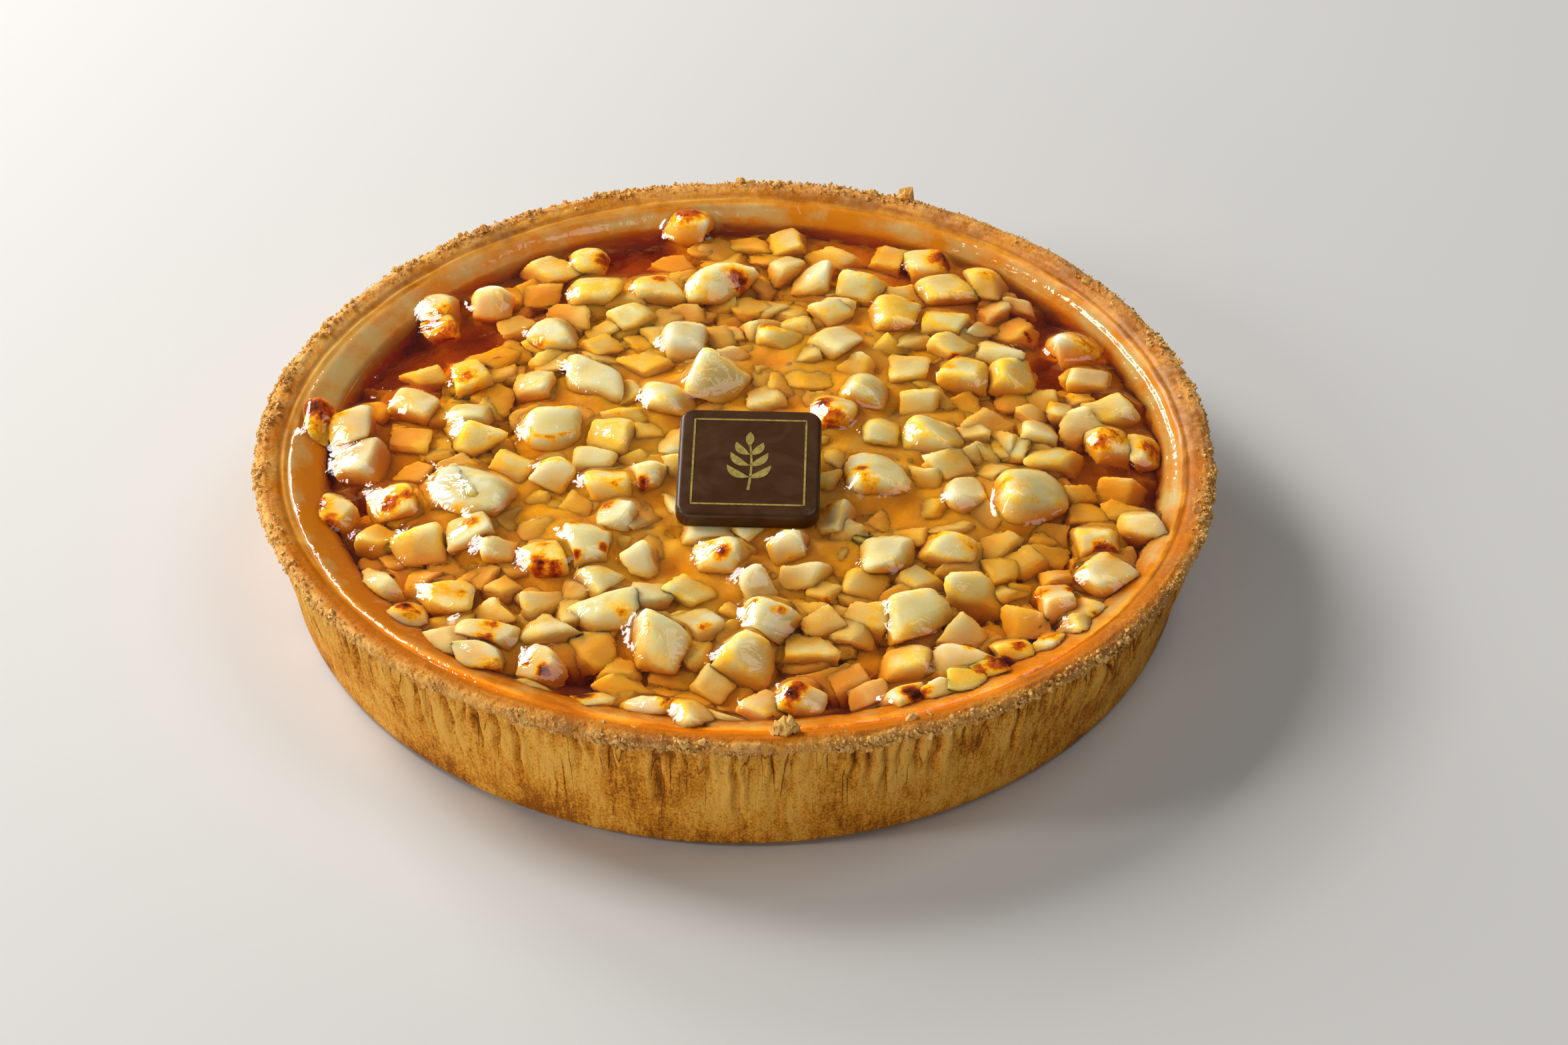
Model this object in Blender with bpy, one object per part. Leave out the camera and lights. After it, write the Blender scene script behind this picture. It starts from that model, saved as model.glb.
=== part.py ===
"""French apple tart, 24 cm across: a pleated pastry shell, apple dice set in jelly, a chocolate plaque.

Metres, +Z up. The origin is the centre of the flat base, -Y is the side with the burnt front dice,
and the plaque leans back from -Y. Run with: blender --background --python part.py
"""
import math
import random

import bmesh
import bpy
from mathutils import Euler, Matrix, Vector

# Pastry shell
RIM_RADIUS = 0.1200
RIM_HEIGHT = 0.0350
BASE_RADIUS = 0.1132
NECK_RADIUS = 0.1174
FLOOR_THICKNESS = 0.0050
SHELL_COLUMNS = 208

# Well that the filling lies in: a little off centre, so the wall is thicker on the left
WELL_OFFSET_X = 0.0022
WELL_RADIUS_AT_JELLY = 0.1052
WELL_RADIUS_AT_FLOOR = 0.1030

# Relief of the shell
PLEAT_DEPTH_RANGE = (0.0005, 0.0017)
CRUMB_RELIEF = 0.00055
RIM_RADIUS_WAVES = {2: (0.0002, -0.0002), 3: (-0.0004, -0.0003)}
BASE_RADIUS_WAVES = {2: (0.0, -0.0002), 3: (-0.0003, 0.0008)}
RIM_HEIGHT_WAVES = {1: (-0.0002, -0.0006), 2: (-0.0005, 0.0006)}
# Crumbs that stand up from the lip: place round the rim in degrees, height
RIM_LUMPS = {-83.8: 0.0032, 68.5: 0.0024, -114.0: 0.0012, 25.0: 0.0010}

# Jelly and core of the filling
JELLY_EDGE_HEIGHT = 0.0285
JELLY_CENTRE_HEIGHT = 0.0310
CORE_SEGMENTS = 60
CORE_RING_SHARES = (1.0, 0.68, 0.34)
CLEARANCE = 0.0003

# Apple dice
DIE_HEIGHT_RANGE = (0.0095, 0.0115)
DIE_TILT_DEG = 11.0
DIE_BEVEL = 0.22
SCATTER_SIZE_RANGE = (0.0095, 0.0135)
SCATTER_RISE_RANGE = (0.0014, 0.0036)
SCATTER_TRIES = 9000
SCATTER_PACKING = 0.90
SCATTER_SEED = 11
WALL_MARGIN = 0.0008

# Cleaning of the fused filling
WELD_DISTANCE = 0.000002
FLAT_ANGLE_DEG = 0.05

# The dice that stand out in the photograph, in millimetres and degrees:
# x, y, length along x, width along y, turn about Z, rise over the jelly
LANDMARK_DICE = (
    (-15, 100, 9, 9, 0, 7.0), (-41, 83, 9, 10, 10, 4.5), (-39, 69, 12, 11, -10, 4.5),
    (-22, 69, 11, 10, 5, 4.0), (-7, 70, 15, 11, 0, 5.0), (-66, 62, 11, 10, 15, 3.5),
    (-80, 62, 9, 10, 0, 4.0), (-78, 53, 9, 8, 10, 2.5), (-49, 47, 11, 11, 30, 4.0),
    (-14, 44, 12, 13, 0, 4.5), (-38, 28, 17, 13, -15, 4.5), (-18, 19, 13, 11, -10, 4.0),
    (-5, 26, 13, 14, -15, 4.5), (-69, 31, 9, 13, 20, 3.5), (-47, 4, 17, 13, 5, 5.0),
    (-95, 6, 9, 11, 5, 4.0), (-102, 8, 7, 9, 0, 4.5),
    (32, 71, 15, 13, -10, 4.5), (50, 82, 10, 11, 0, 5.0), (65, 74, 9, 12, -10, 4.0),
    (41, 58, 12, 13, -5, 5.0), (54, 55, 11, 11, -10, 3.5), (88, 45, 11, 10, 10, 3.5),
    (90, 31, 12, 9, -5, 3.0), (96, 18, 11, 11, 15, 3.0), (59, 31, 11, 13, -15, 4.0),
    (70, 31, 11, 13, 5, 4.0), (33, 22, 11, 13, -20, 4.0), (25, 12, 10, 13, -15, 5.0),
    (49, 3, 14, 13, 0, 4.5), (94, 2, 10, 10, 0, 4.0), (102, 1, 7, 10, 10, 3.5),
    (-85, -24, 11, 11, 10, 4.0), (-98, -28, 9, 10, -20, 4.5), (-65, -21, 20, 16, -20, 5.5),
    (-65, -36, 12, 10, 15, 4.0), (-85, -56, 14, 9, -40, 3.0), (-68, -60, 12, 11, 5, 3.5),
    (-78, -68, 8, 10, -30, 4.0), (-55, -75, 12, 9, -10, 3.5), (-45, -86, 9, 10, -30, 3.5),
    (-34, -98, 8, 7, 20, 3.0), (-19, -100, 15, 8, 0, 3.0), (-31, -18, 11, 11, 0, 4.0),
    (-22, -14, 8, 9, 0, 4.0), (-29, -30, 10, 10, -20, 3.5), (-35, -42, 10, 11, 10, 4.5),
    (-45, -46, 10, 12, 20, 4.0), (-29, -66, 14, 12, 15, 4.5), (-16, -79, 12, 13, -10, 4.5),
    (-4, -46, 12, 10, 0, 4.0),
    (34, -13, 12, 16, 10, 5.0), (37, -43, 12, 11, 0, 3.5), (52, -42, 12, 11, -20, 3.5),
    (13, -42, 10, 9, 20, 3.5), (9, -70, 12, 11, -20, 4.0), (44, -65, 14, 12, 20, 4.0),
    (73, -20, 19, 17, 15, 5.0), (99, -29, 10, 11, -10, 3.5), (88, -37, 11, 10, 10, 3.5),
    (90, -51, 12, 12, 30, 4.0), (78, -60, 9, 10, 10, 3.5), (85, -63, 8, 9, -20, 4.0),
    (66, -79, 10, 8, 10, 3.5), (60, -86, 9, 7, 30, 4.5), (41, -83, 11, 10, 0, 3.0),
    (4, -83, 13, 12, -15, 4.0), (16, -94, 10, 9, -20, 4.5), (41, -95, 9, 8, 20, 4.5),
)
# Places where only deep jelly shows, in millimetres: x, y, radius
BARE_GAPS = (
    (-31, 92, 11), (-88, 44, 11), (-70, 49, 7), (-99, 24, 6), (81, 38, 6), (83, 60, 7),
    (104, -12, 5), (-36, -89, 7), (27, -102, 6), (-93, -18, 4),
)
MILLIMETRE = 0.001

# Chocolate plaque
PLAQUE_SIDE = 0.0353
PLAQUE_THICKNESS = 0.0050
PLAQUE_CORNER = 0.0038
PLAQUE_EDGE = 0.0011
PLAQUE_CORNER_STEPS = 5
PLAQUE_CENTRE = (0.0033, -0.0169, 0.0374)
PLAQUE_TILT_DEG = 12.0
PLAQUE_TURN_DEG = -1.3


def clear_scene():
    """Remove whatever objects the open file holds."""
    for item in list(bpy.data.objects):
        bpy.data.objects.remove(item, do_unlink=True)


def make_material(name, colour, roughness, metallic=0.0):
    """A plain Principled material: linear colour, roughness, metallic."""
    material = bpy.data.materials.new(name)
    material.use_nodes = True
    shader = material.node_tree.nodes["Principled BSDF"]
    shader.inputs["Base Color"].default_value = (*colour, 1.0)
    shader.inputs["Roughness"].default_value = roughness
    shader.inputs["Metallic"].default_value = metallic
    return material


def add_mesh_object(name, points, faces, material):
    """Link a mesh object made of the points and faces, shaded smooth with its creases kept sharp."""
    mesh = bpy.data.meshes.new(name)
    mesh.from_pydata(points, [], faces)
    mesh.materials.append(material)
    item = bpy.data.objects.new(name, mesh)
    bpy.context.collection.objects.link(item)
    mesh.shade_smooth()
    mesh.set_sharp_from_angle(angle=math.radians(35))
    return item


def stacked_rings(rings, first_pole, last_pole):
    """Points and outward faces of a body of rings, closed by a pole at each end."""
    count = len(rings[0])
    points = [first_pole] + [point for ring in rings for point in ring] + [last_pole]
    faces = []
    for k in range(count):
        after = (k + 1) % count
        faces.append((0, 1 + after, 1 + k))
        for row in range(len(rings) - 1):
            lower = 1 + row * count
            upper = lower + count
            faces.append((lower + k, lower + after, upper + after))
            faces.append((lower + k, upper + after, upper + k))
        top = 1 + (len(rings) - 1) * count
        faces.append((top + k, top + after, len(points) - 1))
    return points, faces


def waves(angle, terms):
    """Sum of cosine and sine terms, each keyed by how often it goes round."""
    return sum(c * math.cos(n * angle) + s * math.sin(n * angle) for n, (c, s) in terms.items())


def lump_height(angle):
    """Height that the loose crumbs on the lip add at this angle."""
    width = math.radians(1.9)
    height = 0.0
    for place, size in RIM_LUMPS.items():
        away = (angle - math.radians(place) + math.pi) % (2 * math.pi) - math.pi
        height += size * max(0.0, 1.0 - (away / width) ** 2)
    return height


def shell_rows():
    """Profile of the shell, from under the base round the lip to the well's floor.

    Each row is radius, height, share of the pleats, share of the crumb relief, part of the shell.
    """
    return (
        (BASE_RADIUS - 0.0022, 0.0, 0.0, 0.0, "base"),
        (BASE_RADIUS, 0.0014, 0.15, 0.0, "base"),
        (BASE_RADIUS + 0.0012, 0.0090, 0.45, 0.0, "base"),
        ((BASE_RADIUS + NECK_RADIUS) / 2 + 0.0006, 0.0195, 0.85, 0.0, "rim"),
        (NECK_RADIUS, 0.0302, 1.0, 0.2, "rim"),
        (RIM_RADIUS, RIM_HEIGHT - 0.0024, 0.15, 1.0, "rim"),
        (RIM_RADIUS - 0.0008, RIM_HEIGHT - 0.0002, 0.0, 1.0, "rim"),
        (RIM_RADIUS - 0.0034, RIM_HEIGHT, 0.0, 0.9, "lump"),
        (RIM_RADIUS - 0.0056, RIM_HEIGHT - 0.0010, 0.0, 0.6, "rim"),
        (RIM_RADIUS - 0.0067, RIM_HEIGHT - 0.0021, 0.0, 0.2, "rim"),
        (RIM_RADIUS - 0.0080, RIM_HEIGHT - 0.0018, 0.0, 0.1, "rim"),
        (WELL_RADIUS_AT_JELLY, JELLY_EDGE_HEIGHT, 0.0, 0.0, "well"),
        (WELL_RADIUS_AT_FLOOR, FLOOR_THICKNESS, 0.0, 0.0, "well"),
    )


def make_pastry_shell(material):
    """Cup of pastry with an upright pleated wall, a crumbly lip that overhangs it and a well."""
    dice = random.Random(SCATTER_SEED)
    pleats = [(k % 2) * dice.uniform(*PLEAT_DEPTH_RANGE) for k in range(SHELL_COLUMNS)]
    rings = []
    for radius, height, pleat_share, crumb_share, part in shell_rows():
        ring = []
        for k in range(SHELL_COLUMNS):
            angle = 2 * math.pi * k / SHELL_COLUMNS
            crumb = crumb_share * CRUMB_RELIEF
            r = radius - pleat_share * pleats[k] + dice.uniform(-crumb, crumb)
            z = height + dice.uniform(-crumb, crumb)
            x_offset = WELL_OFFSET_X if part == "well" else 0.0
            if part == "base":
                r += waves(angle, BASE_RADIUS_WAVES)
            if part in ("rim", "lump"):
                r += waves(angle, RIM_RADIUS_WAVES)
                z += waves(angle, RIM_HEIGHT_WAVES) * height / RIM_HEIGHT
            if part == "lump":
                z += lump_height(angle)
            ring.append((x_offset + r * math.cos(angle), r * math.sin(angle), z))
        rings.append(ring)
    points, faces = stacked_rings(rings, (0.0, 0.0, 0.0), (WELL_OFFSET_X, 0.0, FLOOR_THICKNESS))
    return add_mesh_object("pastry_shell", points, faces, material)


def jelly_height(x, y):
    """Height of the jelly's surface, domed from the wall to the middle."""
    share = min(1.0, math.hypot(x - WELL_OFFSET_X, y) / WELL_RADIUS_AT_JELLY)
    return JELLY_EDGE_HEIGHT + (JELLY_CENTRE_HEIGHT - JELLY_EDGE_HEIGHT) * (1.0 - share ** 2)


def well_radius(z):
    """Radius that clears the well's wall at a height, its slope carried on above the jelly."""
    slope = (WELL_RADIUS_AT_JELLY - WELL_RADIUS_AT_FLOOR) / (JELLY_EDGE_HEIGHT - FLOOR_THICKNESS)
    return WELL_RADIUS_AT_FLOOR + slope * (z - FLOOR_THICKNESS) - CLEARANCE


def plan_dice():
    """Every die that stands out of the jelly: x, y, length, width, height, turn, tilts, rise.

    The landmark dice come first. The rest are thrown at random and kept where they fit between
    the dice that lie there already, clear of the wall and of the bare gaps.
    """
    draw = random.Random(SCATTER_SEED)
    plan = []

    def add(x, y, length, width, turn, rise):
        height = draw.uniform(*DIE_HEIGHT_RANGE)
        tilts = (draw.uniform(-DIE_TILT_DEG, DIE_TILT_DEG), draw.uniform(-DIE_TILT_DEG, DIE_TILT_DEG))
        plan.append((x, y, length, width, height, turn, tilts, rise))

    for x, y, length, width, turn, rise in LANDMARK_DICE:
        add(*(value * MILLIMETRE for value in (x, y, length, width)), turn, rise * MILLIMETRE)
    for _ in range(SCATTER_TRIES):
        length = draw.uniform(*SCATTER_SIZE_RANGE)
        width = draw.uniform(*SCATTER_SIZE_RANGE)
        reach = (WELL_RADIUS_AT_JELLY - WALL_MARGIN - max(length, width) / 2) * math.sqrt(draw.random())
        angle = draw.uniform(-math.pi, math.pi)
        turn = draw.uniform(-45.0, 45.0)
        rise = draw.uniform(*SCATTER_RISE_RANGE)
        x = WELL_OFFSET_X + reach * math.cos(angle)
        y = reach * math.sin(angle)
        size = (length + width) / 2
        fits = all(
            math.hypot(x - other[0], y - other[1])
            > SCATTER_PACKING * (size + (other[2] + other[3]) / 2) / 2
            for other in plan
        )
        clear = all(
            math.hypot(x - gx * MILLIMETRE, y - gy * MILLIMETRE) > gr * MILLIMETRE + size / 3
            for gx, gy, gr in BARE_GAPS
        )
        if fits and clear:
            add(x, y, length, width, turn, rise)
    return plan


def plaque_matrix():
    """Placement of the plaque: tilted so that its back edge is raised, then turned a little."""
    turn = Euler((math.radians(PLAQUE_TILT_DEG), 0.0, math.radians(PLAQUE_TURN_DEG)))
    return Matrix.Translation(PLAQUE_CENTRE) @ turn.to_matrix().to_4x4()


def below_plaque(point, to_plaque, reach):
    """The point, brought down under the plaque where it lies within reach of its footprint."""
    local = to_plaque @ point
    half = PLAQUE_SIDE / 2 + reach
    underside = -PLAQUE_THICKNESS / 2 - CLEARANCE * 1.5
    if abs(local.x) < half and abs(local.y) < half and local.z > underside:
        local.z = underside
        return to_plaque.inverted() @ local
    return point


def die_points(x, y, length, width, height, turn, tilts, rise):
    """Twelve corners of a die: base, shoulder and a smaller top, turned and tilted in place."""
    centre = Vector((x, y, jelly_height(x, y) + rise - height / 2))
    spin = Euler((math.radians(tilts[0]), math.radians(tilts[1]), math.radians(turn))).to_matrix()
    to_plaque = plaque_matrix().inverted()
    under_plaque = (to_plaque @ centre).to_2d().length < PLAQUE_SIDE * 0.5 + (length + width) / 2
    points = []
    for level, inset in ((-0.5, 0.12), (0.5 - DIE_BEVEL, 0.0), (0.5, DIE_BEVEL)):
        for cx, cy in ((-1, -1), (1, -1), (1, 1), (-1, 1)):
            corner = Vector((
                cx * (length / 2 - inset * length / 2),
                cy * (width / 2 - inset * width / 2),
                level * height,
            ))
            point = centre + spin @ corner
            if under_plaque:
                point = below_plaque(point, to_plaque, (length + width) / 2)
            away = math.hypot(point.x - WELL_OFFSET_X, point.y)
            limit = well_radius(point.z) - CLEARANCE
            if away > limit:
                point.x = WELL_OFFSET_X + (point.x - WELL_OFFSET_X) * limit / away
                point.y *= limit / away
            points.append(tuple(point))
    return points


def die_faces():
    """Outward triangles of the twelve-cornered die."""
    faces = [(0, 2, 1), (0, 3, 2), (8, 9, 10), (8, 10, 11)]
    for lower in (0, 4):
        for k in range(4):
            after = (k + 1) % 4
            faces.append((lower + k, lower + after, lower + 4 + after))
            faces.append((lower + k, lower + 4 + after, lower + 4 + k))
    return faces


def core_mesh():
    """Jelly up to its level: a round body with a flat underside and a low domed top."""
    rings = []
    levels = [(WELL_RADIUS_AT_FLOOR - CLEARANCE, FLOOR_THICKNESS + CLEARANCE)]
    for share in CORE_RING_SHARES:
        radius = share * (WELL_RADIUS_AT_JELLY - CLEARANCE)
        levels.append((radius, jelly_height(WELL_OFFSET_X + radius, 0.0)))
    for radius, z in levels:
        rings.append([
            (WELL_OFFSET_X + radius * math.cos(2 * math.pi * k / CORE_SEGMENTS),
             radius * math.sin(2 * math.pi * k / CORE_SEGMENTS), z)
            for k in range(CORE_SEGMENTS)
        ])
    bottom = (WELL_OFFSET_X, 0.0, FLOOR_THICKNESS + CLEARANCE)
    return stacked_rings(rings, bottom, (WELL_OFFSET_X, 0.0, JELLY_CENTRE_HEIGHT))


def keep_outer_skin(item):
    """Weld and simplify a mesh and keep its largest skin, without sealed hollows or loose scraps."""
    mesh = bmesh.new()
    mesh.from_mesh(item.data)
    bmesh.ops.remove_doubles(mesh, verts=mesh.verts, dist=WELD_DISTANCE)
    bmesh.ops.dissolve_degenerate(mesh, dist=WELD_DISTANCE, edges=mesh.edges)
    bmesh.ops.dissolve_limit(
        mesh, angle_limit=math.radians(FLAT_ANGLE_DEG), verts=mesh.verts, edges=mesh.edges)
    bmesh.ops.triangulate(mesh, faces=mesh.faces)
    left = set(mesh.verts)
    skins = []
    while left:
        skin = set()
        front = [left.pop()]
        while front:
            vertex = front.pop()
            skin.add(vertex)
            for edge in vertex.link_edges:
                other = edge.other_vert(vertex)
                if other in left:
                    left.remove(other)
                    front.append(other)
        skins.append(skin)
    largest = max(skins, key=len)
    scraps = [vertex for vertex in mesh.verts if vertex not in largest]
    bmesh.ops.delete(mesh, geom=scraps, context="VERTS")
    mesh.to_mesh(item.data)
    mesh.free()


def make_apple_filling(material):
    """Jelly core with the dice that stand out of it fused on by one Boolean union."""
    points, faces = core_mesh()
    core = add_mesh_object("apple_filling", points, faces, material)
    dice = bpy.data.collections.new("dice")
    bpy.context.scene.collection.children.link(dice)
    for number, die in enumerate(plan_dice()):
        mesh = bpy.data.meshes.new(f"die_{number}")
        mesh.from_pydata(die_points(*die), [], die_faces())
        dice.objects.link(bpy.data.objects.new(f"die_{number}", mesh))
    union = core.modifiers.new("fuse_dice", "BOOLEAN")
    union.operation = "UNION"
    union.operand_type = "COLLECTION"
    union.collection = dice
    fused = bpy.data.meshes.new_from_object(core.evaluated_get(bpy.context.evaluated_depsgraph_get()))
    core.modifiers.remove(union)
    core.data = fused
    for item in list(dice.objects):
        bpy.data.objects.remove(item, do_unlink=True)
    bpy.data.collections.remove(dice)
    keep_outer_skin(core)
    fused.set_sharp_from_angle(angle=math.radians(20))
    return core


def plaque_ring(inset, z):
    """Rounded square at a height, inset from the plaque's side."""
    half = PLAQUE_SIDE / 2 - inset
    radius = PLAQUE_CORNER - inset
    ring = []
    for quarter in range(4):
        cx = (half - radius) * (1 if quarter in (0, 3) else -1)
        cy = (half - radius) * (1 if quarter in (0, 1) else -1)
        for step in range(PLAQUE_CORNER_STEPS + 1):
            angle = math.radians(90 * (quarter + step / PLAQUE_CORNER_STEPS))
            ring.append((cx + radius * math.cos(angle), cy + radius * math.sin(angle), z))
    return ring


def make_chocolate_plaque(material):
    """Small rounded square slab with eased edges, leaning on the dice."""
    half = PLAQUE_THICKNESS / 2
    bend = PLAQUE_EDGE * (1 - math.sqrt(0.5))
    rings = [
        plaque_ring(PLAQUE_EDGE, -half),
        plaque_ring(bend, -half + bend),
        plaque_ring(0.0, -half + PLAQUE_EDGE),
        plaque_ring(0.0, half - PLAQUE_EDGE),
        plaque_ring(bend, half - bend),
        plaque_ring(PLAQUE_EDGE, half),
    ]
    points, faces = stacked_rings(rings, (0.0, 0.0, -half), (0.0, 0.0, half))
    plaque = add_mesh_object("chocolate_plaque", points, faces, material)
    plaque.location = PLAQUE_CENTRE
    plaque.rotation_euler = (math.radians(PLAQUE_TILT_DEG), 0.0, math.radians(PLAQUE_TURN_DEG))
    return plaque


def build():
    """Make the tart's three pieces under one empty at the centre of its base."""
    clear_scene()
    tart = bpy.data.objects.new("french_apple_tart", None)
    bpy.context.collection.objects.link(tart)
    pieces = (
        make_pastry_shell(make_material("baked_pastry", (0.60, 0.33, 0.11), 0.65)),
        make_apple_filling(make_material("jellied_apple", (0.72, 0.42, 0.10), 0.20)),
        make_chocolate_plaque(make_material("dark_chocolate", (0.030, 0.014, 0.010), 0.30)),
    )
    for piece in pieces:
        piece.parent = tart


build()
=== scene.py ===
# French apple tart: pastry shell, apple dice in clear jelly, chocolate plaque. Lengths are in metres.
import math
import random

import bpy
import numpy as np
from mathutils import Euler, Matrix, Vector


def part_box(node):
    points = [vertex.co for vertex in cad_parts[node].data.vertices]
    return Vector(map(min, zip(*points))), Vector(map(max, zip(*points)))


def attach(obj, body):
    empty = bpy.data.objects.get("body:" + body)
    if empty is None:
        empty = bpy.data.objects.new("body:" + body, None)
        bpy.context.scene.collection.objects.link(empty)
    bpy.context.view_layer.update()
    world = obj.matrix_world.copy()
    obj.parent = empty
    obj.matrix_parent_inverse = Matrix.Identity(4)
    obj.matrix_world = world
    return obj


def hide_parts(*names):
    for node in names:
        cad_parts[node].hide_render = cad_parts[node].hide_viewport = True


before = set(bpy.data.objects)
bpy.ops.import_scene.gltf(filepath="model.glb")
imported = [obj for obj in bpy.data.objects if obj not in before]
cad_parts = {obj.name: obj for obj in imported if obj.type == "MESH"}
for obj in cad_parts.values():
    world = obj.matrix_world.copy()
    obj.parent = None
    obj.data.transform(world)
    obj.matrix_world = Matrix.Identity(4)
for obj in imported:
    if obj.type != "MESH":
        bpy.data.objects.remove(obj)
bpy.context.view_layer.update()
shellLow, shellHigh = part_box("pastry_shell")
mm = 0.001
print("frame loaded, shell", [round(v / mm, 1) for v in (*shellLow, *shellHigh)])


# Small tools

def valueNoise(points, cell, seed):
    # Random values on a cubic lattice, blended between its corners by a smooth step; runs from -1 to 1
    scaled = np.asarray(points) / cell
    corner = np.floor(scaled).astype(np.int64)
    part = scaled - corner
    part = part * part * (3.0 - 2.0 * part)
    total = np.zeros(scaled.shape[:-1])
    for dx, dy, dz in np.ndindex(2, 2, 2):
        mixed = (corner[..., 0] + dx) * 73856093 ^ (corner[..., 1] + dy) * 19349663
        mixed = mixed ^ (corner[..., 2] + dz) * 83492791 ^ (seed * 2654435761)
        mixed = (mixed ^ (mixed >> 13)) * 1274126177 & 0x7FFFFFFF
        value = ((mixed ^ (mixed >> 16)) & 0xFFFF) / 65535.0
        share = np.abs(1 - dx - part[..., 0]) * np.abs(1 - dy - part[..., 1])
        total += value * share * np.abs(1 - dz - part[..., 2])
    return 2.0 * total - 1.0


def noiseSum(points, parts):
    # Noises added up, each given as its height, cell size and seed
    return sum(height * valueNoise(points, cell, seed) for height, cell, seed in parts)


def inPlan(x, y):
    # Points with the height left at 0
    return np.stack([x, y, 0 * x], -1)


def smoothStep(low, high, value):
    # 0 under low, 1 over high, an S curve between
    t = np.clip((value - low) / (high - low), 0.0, 1.0)
    return t * t * (3.0 - 2.0 * t)


def gridFaces(rows, columns, wrap):
    # Four corners of every cell of a grid of rows by columns; wrap joins the last column to the first
    last = columns if wrap else columns - 1
    r, c = np.meshgrid(np.arange(rows - 1), np.arange(last), indexing="ij")
    here, after = r * columns + c, r * columns + (c + 1) % columns
    return np.stack([here, after, after + columns, here + columns], -1).reshape(-1, 4)


def poleFaces(rows, columns):
    # Quads between closed rings of points, and triangles to point 0 before them and the last point after them
    ends = np.arange(columns)
    after = (ends + 1) % columns
    top = 1 + (rows - 1) * columns
    first = np.stack([np.zeros(columns, int), 1 + after, 1 + ends], -1)
    last = np.stack([top + ends, top + after, np.full(columns, top + columns)], -1)
    return gridFaces(rows, columns, True) + 1, np.concatenate([first, last])


def repeatFaces(quads, count, each):
    # The same faces for many like shapes that follow one another, each with its own points
    return (quads[None] + (np.arange(count) * each)[:, None, None]).reshape(-1, 4)


def makePiece(name, points, material, quads, triangles=None, fields=None):
    # Puts whole arrays of points, quads and triangles into one smooth-shaded mesh with its point fields
    triangles = np.zeros((0, 3), int) if triangles is None else triangles
    mesh = bpy.data.meshes.new(name)
    points = np.ascontiguousarray(points, dtype=np.float32)
    loops = np.concatenate([quads.reshape(-1), triangles.reshape(-1)]).astype(np.int32)
    sizes = np.concatenate([np.full(len(quads), 4), np.full(len(triangles), 3)])
    starts = np.concatenate([[0], np.cumsum(sizes)[:-1]]).astype(np.int32)
    mesh.vertices.add(len(points))
    mesh.vertices.foreach_set("co", points.reshape(-1))
    mesh.loops.add(len(loops))
    mesh.loops.foreach_set("vertex_index", loops)
    mesh.polygons.add(len(sizes))
    mesh.polygons.foreach_set("loop_start", starts)
    mesh.update(calc_edges=True)
    mesh.validate()
    for field, values in (fields or {}).items():
        layer = mesh.attributes.new(field, "FLOAT", "POINT")
        layer.data.foreach_set("value", np.ascontiguousarray(values, dtype=np.float32))
    mesh.shade_smooth()
    mesh.materials.append(material)
    piece = bpy.data.objects.new(name, mesh)
    bpy.context.scene.collection.objects.link(piece)
    print(name, len(mesh.vertices), "points,", int(len(quads) * 2 + len(triangles)), "triangles")
    return piece


def pointNormals(grid):
    # Cross product of the two grid directions, by central differences; the columns close into a ring
    down = np.gradient(grid, axis=0)
    along = np.roll(grid, -1, axis=1) - np.roll(grid, 1, axis=1)
    normal = np.cross(along, down)
    return normal / np.maximum(np.linalg.norm(normal, axis=-1, keepdims=True), 1e-12)


# Materials

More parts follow.
